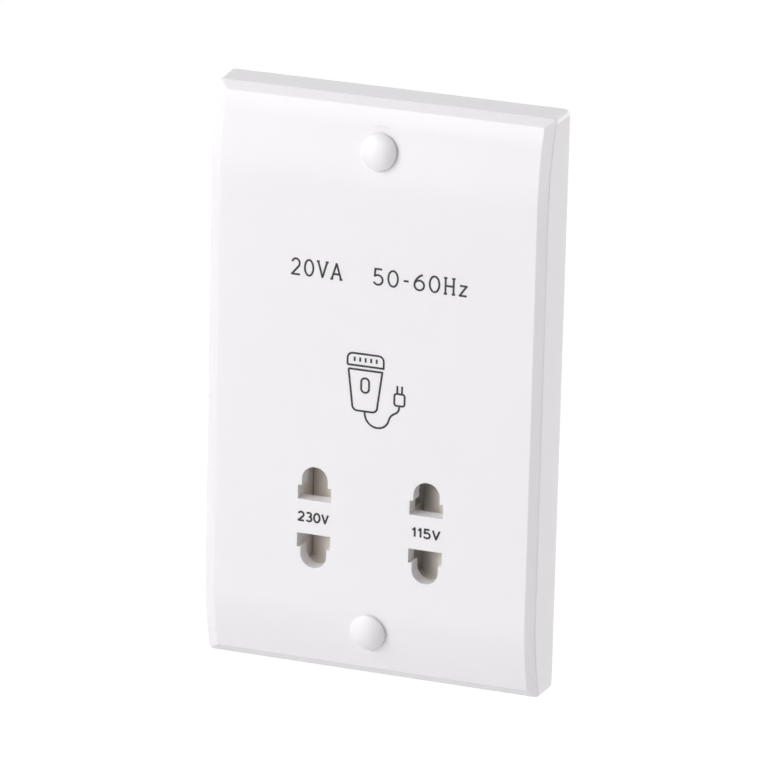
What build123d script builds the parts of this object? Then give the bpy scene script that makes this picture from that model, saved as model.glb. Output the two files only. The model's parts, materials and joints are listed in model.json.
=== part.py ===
from build123d import *
from math import asin, cos, radians, sin, sqrt, tan
import os

# Shaver supply unit for a wall box, in millimetres. +Z is up, +X is to the right seen from the front, and the
# front faces -Y. The origin lies on the wall plane, midway between the two fixing screws.

# Front plate
plate_width = 86.0
plate_height = 145.5
plate_depth = 13.0  # wall plane to the middle of the face
plate_corner = 1.5
side_wall = 2.4
face_wall = 2.5
wall_draft = 2.6  # degrees
end_radius = 58.0  # the face falls back in an arc at each end
end_length = 21.5
bevel_width = 2.5
bevel_drop = 0.9
edge_rounding = 0.4
rib_thickness = 1.5
rib_count = 4
rib_pitch = 18.7

# Fixing screws and their caps
fixing_margin = 12.45  # plate's end to a fixing screw, for the usual centres of 120.6
fixing_diameter = 3.5
fixing_neck_diameter = 3.1  # plain neck below the head
fixing_neck_overrun = 0.5
fixing_length = 25.0
fixing_head_diameter = 6.9
fixing_head_height = 2.4
fixing_head_bevel = 0.7
fixing_recess_span = 4.8
fixing_recess_width = 0.9
fixing_clearance = 0.25
fixing_floor = 3.0
fixing_pocket_depth = 3.5  # pocket floor below the inner face of the plate
pocket_diameter = 8.6
pocket_wall = 1.8
cap_diameter = 9.0
cap_height = 2.2
cap_edge = 0.7
cap_fit = 0.05

# Two-pin outlets
outlet_pitch = 28.6
bridge_height = 8.6
cross_slot_width = 8.6
cross_slot_height = 3.6
arch_width = 6.7
arch_centre = 9.5
collar_depth = 1.5
collar_wall = 2.0

# Sliding shutter
shutter_depth = 7.9
shutter_travel = 7.7
slide_gap = 0.3
pad_width = 8.8
pad_margin = 0.55
pad_nose = 1.2
pad_heel = 1.1
rail_height = 1.2
rail_depth = 5.6
guide_gap = 0.2
guide_wall = 1.0
stop_gap = 0.15
spring_radius = 1.9
spring_wire = 0.4
spring_turns = 6
spring_post = 2.4
spring_post_height = 7.6
spring_post_gap = 0.9
spring_stub_radius = 1.4
spring_stub_length = 1.8

# Switch worked by a wedge on the shutter
wedge_slope = 0.1
wedge_lift = 0.1
wedge_end = 1.4
plunger_radius = 1.0
plunger_fit = 0.08
plunger_gap = 0.1
plunger_x = 0.5
switch_width = 12.8
switch_height = 6.5
switch_depth = 5.8
switch_left = 4.9  # body's left edge from the plunger
switch_seat = 1.4
switch_hole_pitch = 6.5
switch_hole_radius = 1.1
switch_hole_drop = 1.9
switch_stand = 0.4  # switch body to the plunger's tip at full stroke
switch_corner = 0.4
switch_pin_fit = 0.08
plunger_stroke_room = 1.9
tag_width = 2.0
tag_thickness = 0.5
tag_length = 3.0
tag_pitch = 5.0

# Outlet carrier, contacts and their cover
carrier_gap = 0.2  # carrier to the inside of the cover
carrier_wall = 2.0
carrier_rise = 24.0  # outlets' centre line to the top of the carrier
pocket_depth = 10.0
pocket_skin = 1.0
contact_height = 9.0
contact_throat = 3.2
contact_spread = 6.8
contact_base = 5.6
contact_thickness = 0.6
contact_gap = 0.2
throat_depth = 3.0
lyre_bend = 1.2
lyre_corner = 0.7
contact_tag_length = 3.2
contact_tag_width = 3.0
contact_cover_wall = 1.2
contact_cover_rim = 2.0
foot_drop = 1.0  # top of a foot below the top of the terminal block
tag_slot_gap = 0.3
bus_thickness = 0.8
bus_width = 3.6
screw_column_x = 3.8
screw_column_offset = 8.5
column_diameter = 6.6
carrier_screw_x = 23.5
carrier_screw_drop = 3.8
thread_radius = 1.25
thread_bite = 7.0
thread_end_gap = 1.0
small_head_radius = 2.5
small_head_height = 1.8
small_recess_span = 3.5
small_recess_width = 1.0
screw_clearance = 0.2

# Transformer
lamination = 8.5  # width of one outer limb
core_stack = 20.0
core_setback = 13.2  # plate's inner face to the core
core_rise = 8.0  # room for the leads above the carrier
bobbin_gap = 0.2
bobbin_wall = 0.9
flange_thickness = 1.0
bobbin_corner = 1.5
flange_gap = 0.3
tape_thickness = 0.3
tape_margin = 0.4
pin_rail_height = 2.0
pin_rail_setback = 0.3
pin_radius = 0.45
pin_length = 2.7
pin_inset = 2.2
pin_pitch = 7.0
cutout_width = 9.0
cutout_depth = 3.8
cutout_height = 5.0
cutout_corner = 0.8
cutout_leg = 0.7
cutout_leg_bend = 1.2
cradle_reach = 8.5
cradle_lip = 1.3
cradle_gap = 0.2
cradle_hold = 4.0

# Rear cover
cover_wall = 2.0
cover_corner = 4.0
cover_back_gap = 1.1  # bobbin to the inside of the back wall
flange_setback = 4.0  # front of the flange to the wall plane
flange_wall = 2.0
flange_side_gap = 4.1  # plate's side wall to the flange
flange_end_gap = 1.7  # fixing screw's boss to the flange
flange_side_reach = 7.0  # flange beyond the box, at each side
flange_end_reach = 1.5  # and at each end
cover_screw_side = 3.5  # flange's side to a screw
cover_screw_end = 6.5  # flange's end to a screw
cover_boss_diameter = 6.6
cover_thread_bite = 5.0
vent_count = 5
vent_width = 1.6
vent_length = 20.0
vent_pitch = 5.0
vent_centre = 20.0

# Supply terminals
block_width = 22.0
block_depth = 14.2
block_height = 15.0
block_gap = 0.2
block_lip = 1.6
terminal_pitch = 7.2
terminal_count = 3
entry_size = 3.7
entry_setback = 2.6
cage_width = 4.8
cage_height = 7.6
cage_depth = 7.0
cage_wall = 0.9
cage_gap = 0.15
cage_front_skin = 1.8
terminal_screw_radius = 1.5
terminal_head_radius = 2.1
terminal_head_height = 2.6
terminal_head_sink = 1.2
terminal_slot_width = 0.8
terminal_slot_depth = 1.0
cage_tag_width = 3.0
cage_tag_thickness = 0.8
cage_tag_rise = 3.0

# Leads
lead_radius = 0.8
lead_bend = 2.2

# Depths that follow from the sizes above; a smaller number is nearer the front
face_back = -(plate_depth - face_wall)
collar_back = face_back + collar_depth
shutter_front = collar_back + slide_gap
shutter_back = shutter_front + shutter_depth
carrier_front = shutter_back + slide_gap
carrier_back = carrier_front + carrier_wall
pocket_back = carrier_back + pocket_depth
contact_cover_back = pocket_back + contact_cover_wall
flange_front = -flange_setback
core_front = face_back + core_setback
core_back = core_front + core_stack
core_middle = (core_front + core_back) / 2

# Sections of the transformer's bobbin and coils, as half widths and half depths
tube_in_x = lamination + bobbin_gap
tube_in_y = core_stack / 2 + bobbin_gap
tube_x = tube_in_x + bobbin_wall
tube_y = tube_in_y + bobbin_wall
flange_x = 2 * lamination - flange_gap
coil_build = flange_x - tape_margin - tape_thickness - tube_x
coil_x = tube_x + coil_build
coil_y = tube_y + coil_build
tape_x = coil_x + tape_thickness
tape_y = coil_y + tape_thickness
flange_y = tape_y + tape_margin

# Rear cover, round the works and inside the plate
cover_inside = core_middle + flange_y + cover_back_gap
cover_depth = cover_inside + cover_wall
block_front = cover_depth - block_depth
fixing_centres = plate_height - 2 * fixing_margin
fixing_boss_radius = pocket_diameter / 2 + pocket_wall
flange_width = plate_width - 2 * (side_wall + flange_side_gap)
flange_height = fixing_centres - 2 * (fixing_boss_radius + flange_end_gap)
cover_width = flange_width - 2 * flange_side_reach
cover_height = flange_height - 2 * flange_end_reach
cover_screw_x = flange_width / 2 - cover_screw_side
cover_screw_z = flange_height / 2 - cover_screw_end
cover_bottom = -cover_height / 2
carrier_width = cover_width - 2 * (cover_wall + carrier_gap)
carrier_bottom = cover_bottom + cover_wall + carrier_gap

# Heights and widths that follow: the works stand on the lower end of the cover
arch_radius = arch_width / 2
aperture_end = arch_centre + arch_radius
slot_start = bridge_height / 2
pad_reach = aperture_end + pad_margin
rail_top = pad_reach + rail_height
outlet_height = carrier_bottom + guide_wall + guide_gap + rail_top
carrier_top = outlet_height + carrier_rise
core_bottom = carrier_top + core_rise
core_yoke_top = core_bottom + lamination
core_limb_top = core_bottom + 4 * lamination
core_top = core_bottom + 5 * lamination
core_half = 3 * lamination
outlet_xs = (-outlet_pitch / 2, outlet_pitch / 2)
contact_centre = slot_start + contact_height / 2
fixing_zs = (fixing_centres / 2, -fixing_centres / 2)
block_top = cover_bottom + block_height
terminal_xs = [(i - (terminal_count - 1) / 2) * terminal_pitch for i in range(terminal_count)]


def upright(depth):
    """Upright plane at a depth behind the wall plane, facing the front: extrusions come forward from it."""
    return Plane.XZ.offset(-depth)


def end_arc_point(radius, angle, end):
    """Point of the curved end of the face, as (y, z); end is 1 at the top and -1 at the bottom."""
    centre_y = end_radius - plate_depth
    centre_z = plate_height / 2 - end_length
    return (centre_y - radius * cos(angle), end * (centre_z + radius * sin(angle)))


def side_outline(inset):
    """Side view of the plate with its curved ends, sunk below the face by the inset."""
    radius = end_radius - inset
    straight = plate_height / 2 - end_length
    sweep_angle = asin((end_length + bevel_width) / radius)
    front = -plate_depth + inset
    top = end_arc_point(radius, sweep_angle, 1)
    bottom = end_arc_point(radius, sweep_angle, -1)
    back = plate_depth
    Line((front, -straight), (front, straight))
    ThreePointArc((front, straight), end_arc_point(radius, sweep_angle / 2, 1), top)
    Polyline(top, (back, top[1]), (back, bottom[1]), bottom)
    ThreePointArc(bottom, end_arc_point(radius, sweep_angle / 2, -1), (front, -straight))


# Bevel round the face: a wedge of material taken off along each long side and across each end
wall_lean = tan(radians(wall_draft))
bevel_x = plate_width / 2 - wall_lean * (plate_depth - bevel_drop)
bevel_overrun = 3.0
straight_half = plate_height / 2 - end_length
end_angle = asin((end_length + bevel_width) / end_radius)
dropped_radius = end_radius - bevel_drop
end_edge_depth = sqrt(dropped_radius**2 - end_length**2) - (end_radius - plate_depth)
end_edge_z = plate_height / 2 - wall_lean * end_edge_depth
outer_angle = asin((end_edge_z - straight_half) / dropped_radius)

with BuildPart() as bevel_cutter:
    for side in (-1, 1):
        with BuildLine(Plane.YZ.offset(side * bevel_x)) as edge_path:
            ThreePointArc(
                end_arc_point(end_radius, end_angle, -1),
                end_arc_point(end_radius, end_angle / 2, -1),
                (-plate_depth, -straight_half),
            )
            Line((-plate_depth, -straight_half), (-plate_depth, straight_half))
            ThreePointArc(
                (-plate_depth, straight_half),
                end_arc_point(end_radius, end_angle / 2, 1),
                end_arc_point(end_radius, end_angle, 1),
            )
        path = edge_path.wires()[0]
        backward = 1 if (path % 0).Z > 0 else -1
        with BuildSketch(Plane(origin=path @ 0, x_dir=(1, 0, 0), z_dir=path % 0)):
            with BuildLine():
                inner = (-side * bevel_width, 0)
                reach = bevel_overrun / bevel_width
                low = (side * bevel_overrun, backward * bevel_drop * (1 + reach))
                high = (side * bevel_overrun, -backward * bevel_overrun)
                Polyline(inner, low, high, (-side * bevel_width, -backward * bevel_overrun), close=True)
            make_face()
        sweep(path=path)

with BuildPart() as end_bevel_cutter:
    for end in (-1, 1):
        p_out = Vector(*end_arc_point(dropped_radius, outer_angle, end))
        p_in = Vector(*end_arc_point(end_radius, outer_angle - bevel_width / end_radius, end))
        run = (p_out - p_in).normalized()
        far = p_out + run * bevel_overrun
        with BuildSketch(Plane.YZ):
            with BuildLine():
                Polyline(
                    (p_in.X, p_in.Y),
                    (far.X, far.Y),
                    (far.X - 3 * bevel_overrun, far.Y),
                    (p_in.X - 3 * bevel_overrun, p_in.Y),
                    close=True,
                )
            make_face()
        extrude(amount=plate_width, both=True)

with BuildPart() as plate_hollow:
    with BuildSketch(Plane.XZ):
        Rectangle(plate_width - 2 * side_wall, plate_height - 2 * side_wall)
        fillet(vertices(), plate_corner)
    extrude(amount=plate_depth, taper=wall_draft)
    with BuildSketch(Plane.YZ):
        with BuildLine():
            side_outline(face_wall)
        make_face()
    extrude(amount=plate_width, both=True, mode=Mode.INTERSECT)

# Everything that stands on the back of the face, kept behind the face by the curved hollow
boss_floor = face_back + fixing_pocket_depth + fixing_floor
pocket_floor = face_back + fixing_pocket_depth
neck_end = boss_floor + fixing_neck_overrun
column_zs = (outlet_height + screw_column_offset, outlet_height - screw_column_offset)
carrier_screw_z = carrier_top - carrier_screw_drop
carrier_screws_at = [(-carrier_screw_x, carrier_screw_z), (carrier_screw_x, carrier_screw_z)]
columns_at = [(screw_column_x, z) for z in column_zs]
carrier_bosses_at = carrier_screws_at + columns_at
cover_screws_at = [(x, z) for x in (-cover_screw_x, cover_screw_x) for z in (-cover_screw_z, cover_screw_z)]


def cradle_posts(front, back, hold_front, hold_back):
    """Four corner posts for the core, hollowed where the core sits, between the two hold depths."""
    outer_x = core_half + cradle_gap + cradle_lip
    middle_z = (core_bottom + core_top) / 2
    outer_z = (core_top - core_bottom) / 2 + cradle_gap + cradle_lip
    spread_x = 2 * outer_x - cradle_reach
    spread_z = 2 * outer_z - cradle_reach
    with BuildPart() as posts:
        with BuildSketch(upright(back)):
            with Locations((0, middle_z)):
                with GridLocations(spread_x, spread_z, 2, 2):
                    Rectangle(cradle_reach, cradle_reach)
        extrude(amount=back - front)
        with BuildSketch(upright(hold_back)):
            with Locations((0, middle_z)):
                Rectangle(2 * (core_half + cradle_gap), core_top - core_bottom + 2 * cradle_gap)
        extrude(amount=hold_back - hold_front, mode=Mode.SUBTRACT)
    return posts.part


with BuildPart() as front_plate:
    with BuildSketch(Plane.XZ):
        Rectangle(plate_width, plate_height)
        fillet(vertices(), plate_corner)
    extrude(amount=plate_depth + bevel_overrun, taper=wall_draft)
    with BuildSketch(Plane.YZ):
        with BuildLine():
            side_outline(0)
        make_face()
    extrude(amount=plate_width, both=True, mode=Mode.INTERSECT)
    add(bevel_cutter.part, mode=Mode.SUBTRACT)
    add(end_bevel_cutter.part, mode=Mode.SUBTRACT)
    fillet(edges().filter_by(lambda edge: edge.center().Y < -edge_rounding), edge_rounding)
    add(plate_hollow.part, mode=Mode.SUBTRACT)
    # collars that deepen the pin apertures
    for x in outlet_xs:
        with BuildSketch(upright(collar_back)):
            with Locations((x, outlet_height)):
                RectangleRounded(
                    cross_slot_width + 2 * collar_wall, 2 * (aperture_end + collar_wall), arch_radius
                )
        extrude(amount=collar_depth)
    # fixing screw pockets
    for z in fixing_zs:
        with BuildSketch(upright(boss_floor)):
            with Locations((0, z)):
                Circle(fixing_boss_radius)
        extrude(amount=boss_floor - face_back + face_wall / 4)
    # bosses for the carrier, its columns and the rear cover
    with BuildSketch(upright(carrier_front)):
        with Locations(*carrier_bosses_at):
            Circle(column_diameter / 2)
    extrude(amount=carrier_front - face_back)
    with BuildSketch(upright(flange_front)):
        with Locations(*cover_screws_at):
            Circle(cover_boss_diameter / 2)
    extrude(amount=flange_front - face_back)
    # stiffening ribs between the side walls and the cover
    rib_length = (plate_width - cover_width) / 2 - side_wall
    with BuildSketch(upright(flange_front - slide_gap)):
        with GridLocations(cover_width + rib_length, rib_pitch, 2, rib_count):
            Rectangle(rib_length, rib_thickness)
    extrude(amount=flange_front - slide_gap - face_back)
    add(cradle_posts(face_back, core_front + cradle_hold, core_front, core_front + cradle_hold))
    # pin apertures
    with BuildSketch(upright(collar_back)):
        for x in outlet_xs:
            with Locations((x, outlet_height)):
                for end in (-1, 1):
                    with Locations((0, end * (slot_start + cross_slot_height / 2))):
                        Rectangle(cross_slot_width, cross_slot_height)
                    with Locations((0, end * (slot_start + arch_centre) / 2)):
                        Rectangle(arch_width, arch_centre - slot_start)
                    with Locations((0, end * arch_centre)):
                        Circle(arch_radius)
    extrude(amount=plate_depth, mode=Mode.SUBTRACT)
    # screw pockets and clearance holes
    for z in fixing_zs:
        with Locations(Plane(origin=(0, pocket_floor, z), x_dir=(1, 0, 0), z_dir=(0, -1, 0))):
            Cylinder(
                pocket_diameter / 2,
                plate_depth,
                align=(Align.CENTER, Align.CENTER, Align.MIN),
                mode=Mode.SUBTRACT,
            )
            Hole(fixing_diameter / 2 + fixing_clearance)
    # pilot holes
    with Locations(*[Plane(origin=(x, carrier_front, z), z_dir=(0, 1, 0)) for x, z in carrier_bosses_at]):
        Hole(thread_radius, depth=thread_bite)
    with Locations(*[Plane(origin=(x, flange_front, z), z_dir=(0, 1, 0)) for x, z in cover_screws_at]):
        Hole(thread_radius, depth=cover_thread_bite)
front_plate.part.label = "front_plate"


def fixing_screw(z):
    """Screw with a bevelled head, a cross recess and a plain neck, seated on the pocket floor."""
    with BuildPart() as screw:
        with BuildSketch(upright(pocket_floor)):
            with Locations((0, z)):
                Circle(fixing_head_diameter / 2)
        extrude(amount=fixing_head_height)
        chamfer(faces().sort_by(Axis.Y)[0].edges(), fixing_head_bevel)
        with BuildSketch(upright(neck_end)):
            with Locations((0, z)):
                Circle(fixing_neck_diameter / 2)
        extrude(amount=neck_end - pocket_floor)
        with BuildSketch(upright(pocket_floor + fixing_length)):
            with Locations((0, z)):
                Circle(fixing_diameter / 2)
        extrude(amount=pocket_floor + fixing_length - neck_end)
        with BuildSketch(upright(pocket_floor - fixing_head_height / 2)):
            with Locations((0, z)):
                Rectangle(fixing_recess_span, fixing_recess_width)
                Rectangle(fixing_recess_width, fixing_recess_span)
        extrude(amount=fixing_head_height, mode=Mode.SUBTRACT)
    return screw


fixing_screw_top = fixing_screw(fixing_zs[0])
fixing_screw_top.part.label = "fixing_screw_top"
fixing_screw_bottom = fixing_screw(fixing_zs[1])
fixing_screw_bottom.part.label = "fixing_screw_bottom"


def screw_cap(end):
    """Domed cap whose rim follows the curved face, on a hollow plug that presses into the screw pocket."""
    z = end * fixing_centres / 2
    lean = asin((fixing_centres / 2 - straight_half) / end_radius)
    seat_y, seat_z = end_arc_point(end_radius, lean, end)
    outward = Vector(0, -cos(lean), end * sin(lean))
    half = cap_diameter / 2
    dome_rise = cap_height - cap_edge
    dome_radius = (half**2 + dome_rise**2) / (2 * dome_rise)
    plug_back = pocket_floor - fixing_head_height - 2 * slide_gap
    with BuildPart() as behind_face:
        with BuildSketch(Plane.YZ.offset(-plate_width)):
            with Locations((end_radius - plate_depth, end * straight_half)):
                Circle(end_radius)
        extrude(amount=2 * plate_width)
        with BuildSketch(upright(plug_back)):
            with Locations((0, z)):
                Circle(pocket_diameter / 2 - cap_fit)
        extrude(amount=plate_depth, mode=Mode.SUBTRACT)
    with BuildPart() as cap:
        with BuildSketch(Plane((0, seat_y, seat_z), x_dir=(1, 0, 0), z_dir=Vector(1, 0, 0).cross(outward))):
            with BuildLine():
                Polyline((0, cap_height), (0, -cap_height), (half, -cap_height), (half, cap_edge))
                half_arc = asin(half / dome_radius) / 2
                arc_middle = (dome_radius * sin(half_arc), cap_height - dome_radius * (1 - cos(half_arc)))
                ThreePointArc((half, cap_edge), arc_middle, (0, cap_height))
            make_face()
        revolve(axis=Axis((0, seat_y, seat_z), outward))
        add(behind_face.part, mode=Mode.SUBTRACT)
        with BuildSketch(upright(plug_back)):
            with Locations((0, z)):
                Circle(pocket_diameter / 2 - cap_fit)
        extrude(amount=plug_back - seat_y)
    return cap


screw_cap_top = screw_cap(1)
screw_cap_top.part.label = "screw_cap_top"
screw_cap_bottom = screw_cap(-1)
screw_cap_bottom.part.label = "screw_cap_bottom"

# Sliding shutter: a ramp pad behind each outlet, deep on its left so that a pin pushes it to the right
pad_half = pad_width / 2
shutter_half = outlet_pitch / 2 + pad_half
rail_zs = (outlet_height + pad_reach + rail_height / 2, outlet_height - pad_reach - rail_height / 2)
shutter_top = outlet_height + rail_top
spring_y = (shutter_front + shutter_back) / 2
spring_left = -outlet_pitch / 2 + pad_half
wedge_right = plunger_x + wedge_end
wedge_left = plunger_x - shutter_travel - wedge_end
wedge_bury = rail_height / 2


def wedge_top(x):
    """Height of the wedge on the shutter's upper rail, at rest."""
    return shutter_top + wedge_lift + wedge_slope * (wedge_right - x)


with BuildPart() as shutter:
    for x in outlet_xs:
        with BuildSketch(Plane.XY.offset(outlet_height - pad_reach)):
            with BuildLine():
                Polyline(
                    (x + pad_half, shutter_front),
                    (x + pad_half, shutter_back),
                    (x - pad_half, shutter_back),
                    (x - pad_half, shutter_back - pad_heel),
                    (x + pad_half - pad_nose, shutter_front),
                    close=True,
                )
            make_face()
        extrude(amount=2 * pad_reach)
    with BuildSketch(upright(shutter_back)):
        for z in rail_zs:
            with Locations((0, z)):
                Rectangle(2 * shutter_half, rail_height)
        with BuildLine():
            Polyline(
                (wedge_left, shutter_top - wedge_bury),
                (wedge_left, wedge_top(wedge_left)),
                (wedge_right, wedge_top(wedge_right)),
                (wedge_right, shutter_top - wedge_bury),
                close=True,
            )
        make_face()
    extrude(amount=rail_depth)
    with BuildSketch(Plane.YZ.offset(spring_left)):
        with Locations((spring_y, outlet_height)):
            Circle(spring_stub_radius)
    extrude(amount=spring_stub_length)
shutter.part.label = "shutter"

# Return spring of the shutter
post_left = outlet_pitch / 2 - pad_half - spring_post_gap - spring_post
spring_length = post_left - spring_left
with BuildPart() as shutter_spring:
    with BuildLine() as coil:
        Helix(
            pitch=(spring_length - spring_wire) / spring_turns,
            height=spring_length - spring_wire,
            radius=spring_radius,
            center=(spring_left + spring_wire / 2, spring_y, outlet_height),
            direction=(1, 0, 0),
        )
    wire = coil.wires()[0]
    with BuildSketch(Plane(origin=wire @ 0, z_dir=wire % 0)):
        RegularPolygon(spring_wire / 2, 5)
    sweep(path=wire, is_frenet=True)
shutter_spring.part.label = "shutter_spring"

# Switch plunger, tipped just above the wedge
plunger_tip = wedge_top(plunger_x - plunger_radius) + plunger_gap
plunger_stroke = wedge_slope * shutter_travel
switch_bottom = plunger_tip + plunger_stroke + switch_stand
switch_x = plunger_x - switch_left + switch_width / 2
switch_back = carrier_front - switch_seat
switch_y = switch_back - switch_depth / 2
plunger_top = switch_bottom + plunger_stroke_room
switch_top = switch_bottom + switch_height
switch_hole_z = switch_top - switch_hole_drop
switch_holes_at = [(switch_x + side * switch_hole_pitch / 2, switch_hole_z) for side in (-1, 1)]
with BuildPart() as switch_plunger:
    with BuildSketch(Plane.XY.offset(plunger_tip)):
        with Locations((plunger_x, switch_y)):
            Circle(plunger_radius)
    extrude(amount=plunger_top - plunger_tip)
switch_plunger.part.label = "switch_plunger"

with BuildPart() as micro_switch:
    with BuildSketch(upright(switch_back)):
        with Locations((switch_x, (switch_bottom + switch_top) / 2)):
            RectangleRounded(switch_width, switch_height, switch_corner)
    extrude(amount=switch_depth)
    with BuildSketch(upright(switch_back)):
        with Locations(*switch_holes_at):
            Circle(switch_hole_radius)
    extrude(amount=switch_depth, mode=Mode.SUBTRACT)
    with BuildSketch(Plane.XY.offset(switch_bottom)):
        with Locations((plunger_x, switch_y)):
            Circle(plunger_radius + plunger_fit)
    extrude(amount=plunger_stroke_room + plunger_stroke + slide_gap, mode=Mode.SUBTRACT)
micro_switch.part.label = "micro_switch"

tag_xs = [switch_x + i * tag_pitch for i in (-1, 0, 1)]
with BuildPart() as switch_tags:
    with BuildSketch(Plane.XY.offset(switch_top)):
        with Locations(*[(x, switch_y) for x in tag_xs]):
            Rectangle(tag_width, tag_thickness)
    extrude(amount=tag_length)
switch_tags.part.label = "switch_tags"

# Carrier behind the outlets: base with pin windows, shutter guides in front, contact pockets behind
carrier_height = carrier_top - carrier_bottom
carrier_centre_z = (carrier_top + carrier_bottom) / 2
guide_front = collar_back + slide_gap
guide_offset = rail_top + guide_gap + guide_wall / 2
guide_zs = (outlet_height + guide_offset, outlet_height - guide_offset)
stop_left = -shutter_half - stop_gap
stop_right = shutter_half + shutter_travel + stop_gap
window_width = cross_slot_width + guide_gap
pocket_inner_x = contact_spread / 2 + contact_thickness + contact_gap
pocket_inner_z = contact_height / 2 + contact_gap
contacts_at = [(x, outlet_height + end * contact_centre) for end in (1, -1) for x in outlet_xs]
upper_guides = (
    (-carrier_width / 2, wedge_left - 2 * slide_gap),
    (wedge_right + shutter_travel + 2 * slide_gap, carrier_width / 2),
)
with BuildPart() as outlet_carrier:
    with BuildSketch(upright(carrier_back)):
        with Locations((0, carrier_centre_z)):
            RectangleRounded(carrier_width, carrier_height, cover_corner - cover_wall)
    extrude(amount=carrier_wall)
    # guides above and below the shutter, and its end stops
    with BuildSketch(upright(carrier_front)):
        for left, right in upper_guides:
            with Locations(((left + right) / 2, guide_zs[0])):
                Rectangle(right - left, guide_wall)
        with Locations((0, guide_zs[1])):
            Rectangle(carrier_width - 2 * (cover_corner - cover_wall), guide_wall)
        for left, right in ((stop_left - guide_wall, stop_left), (stop_right, carrier_width / 2)):
            with Locations(((left + right) / 2, outlet_height)):
                Rectangle(right - left, 2 * pad_reach)
        with Locations((post_left + spring_post / 2, outlet_height)):
            Rectangle(spring_post, spring_post_height)
    extrude(amount=carrier_front - guide_front)
    with BuildSketch(Plane.YZ.offset(post_left - spring_stub_length)):
        with Locations((spring_y, outlet_height)):
            Circle(spring_stub_radius)
    extrude(amount=spring_stub_length + spring_post / 2)
    # seat and pins for the switch
    with BuildSketch(upright(carrier_front)):
        with Locations((switch_x, switch_hole_z)):
            Rectangle(switch_width, 2 * switch_hole_drop)
    extrude(amount=switch_seat)
    with BuildSketch(upright(switch_back)):
        with Locations(*switch_holes_at):
            Circle(switch_hole_radius - switch_pin_fit)
    extrude(amount=switch_depth)
    # pockets for the contacts
    with BuildSketch(upright(pocket_back)):
        with Locations(*contacts_at):
            Rectangle(2 * (pocket_inner_x + pocket_skin), 2 * (pocket_inner_z + pocket_skin))
            Rectangle(2 * pocket_inner_x, 2 * pocket_inner_z, mode=Mode.SUBTRACT)
        with Locations(*columns_at):
            Circle(column_diameter / 2)
    extrude(amount=pocket_depth)
    # windows for the pins
    with BuildSketch(upright(carrier_back)):
        with Locations(*contacts_at):
            Rectangle(window_width, contact_height)
    extrude(amount=carrier_wall, mode=Mode.SUBTRACT)
    # screw holes
    with BuildSketch(upright(pocket_back)):
        with Locations(*carrier_bosses_at):
            Circle(thread_radius + screw_clearance)
    extrude(amount=pocket_back - carrier_front, mode=Mode.SUBTRACT)
outlet_carrier.part.label = "outlet_carrier"


def small_screw(places, seat, length):
    """Pan head screws that point forward, seated at a depth, as one group."""
    with BuildPart() as screws:
        with BuildSketch(upright(seat + small_head_height)):
            with Locations(*places):
                Circle(small_head_radius)
        extrude(amount=small_head_height)
        with BuildSketch(upright(seat)):
            with Locations(*places):
                Circle(thread_radius)
        extrude(amount=length)
        with BuildSketch(upright(seat + small_head_height)):
            with Locations(*places):
                Rectangle(small_recess_span, small_recess_width)
                Rectangle(small_recess_width, small_recess_span)
        extrude(amount=small_head_height / 2, mode=Mode.SUBTRACT)
    return screws


bite_reach = thread_bite - thread_end_gap
carrier_screws = small_screw(carrier_screws_at, carrier_back, carrier_wall + bite_reach)
carrier_screws.part.label = "carrier_screws"
column_reach = contact_cover_back - carrier_front + bite_reach
cover_plate_screws = small_screw(columns_at, contact_cover_back, column_reach)
cover_plate_screws.part.label = "cover_plate_screws"


def lyre_contact(x, z, end):
    """Spring strip folded into a lyre that grips a pin, with a tag to the rear at its outer edge."""
    half_throat = contact_throat / 2 + contact_thickness / 2
    half_spread = contact_spread / 2
    half_base = contact_base / 2
    mouth = carrier_back + 2 * contact_gap
    throat = mouth + throat_depth
    base = pocket_back - contact_thickness / 2
    tag_z = z + end * (contact_height - contact_thickness) / 2
    with BuildPart() as contact:
        with BuildSketch(Plane.XY.offset(z - contact_height / 2)):
            with BuildLine():
                FilletPolyline(
                    (x - half_spread, mouth),
                    (x - half_throat, throat),
                    (x - half_base, base),
                    (x + half_base, base),
                    (x + half_throat, throat),
                    (x + half_spread, mouth),
                    radius=[lyre_bend, lyre_corner, lyre_corner, lyre_bend],
                )
            trace(line_width=contact_thickness)
        extrude(amount=contact_height)
        with BuildSketch(Plane.XY.offset(tag_z - contact_thickness / 2)):
            with Locations((x, pocket_back - contact_thickness / 2 + contact_tag_length / 2)):
                Rectangle(contact_tag_width, contact_tag_length + contact_thickness)
        extrude(amount=contact_thickness)
    return contact


contact_upper_left = lyre_contact(*contacts_at[0], 1)
contact_upper_left.part.label = "contact_upper_left"
contact_upper_right = lyre_contact(*contacts_at[1], 1)
contact_upper_right.part.label = "contact_upper_right"
contact_lower_left = lyre_contact(*contacts_at[2], -1)
contact_lower_left.part.label = "contact_lower_left"
contact_lower_right = lyre_contact(*contacts_at[3], -1)
contact_lower_right.part.label = "contact_lower_right"

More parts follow.
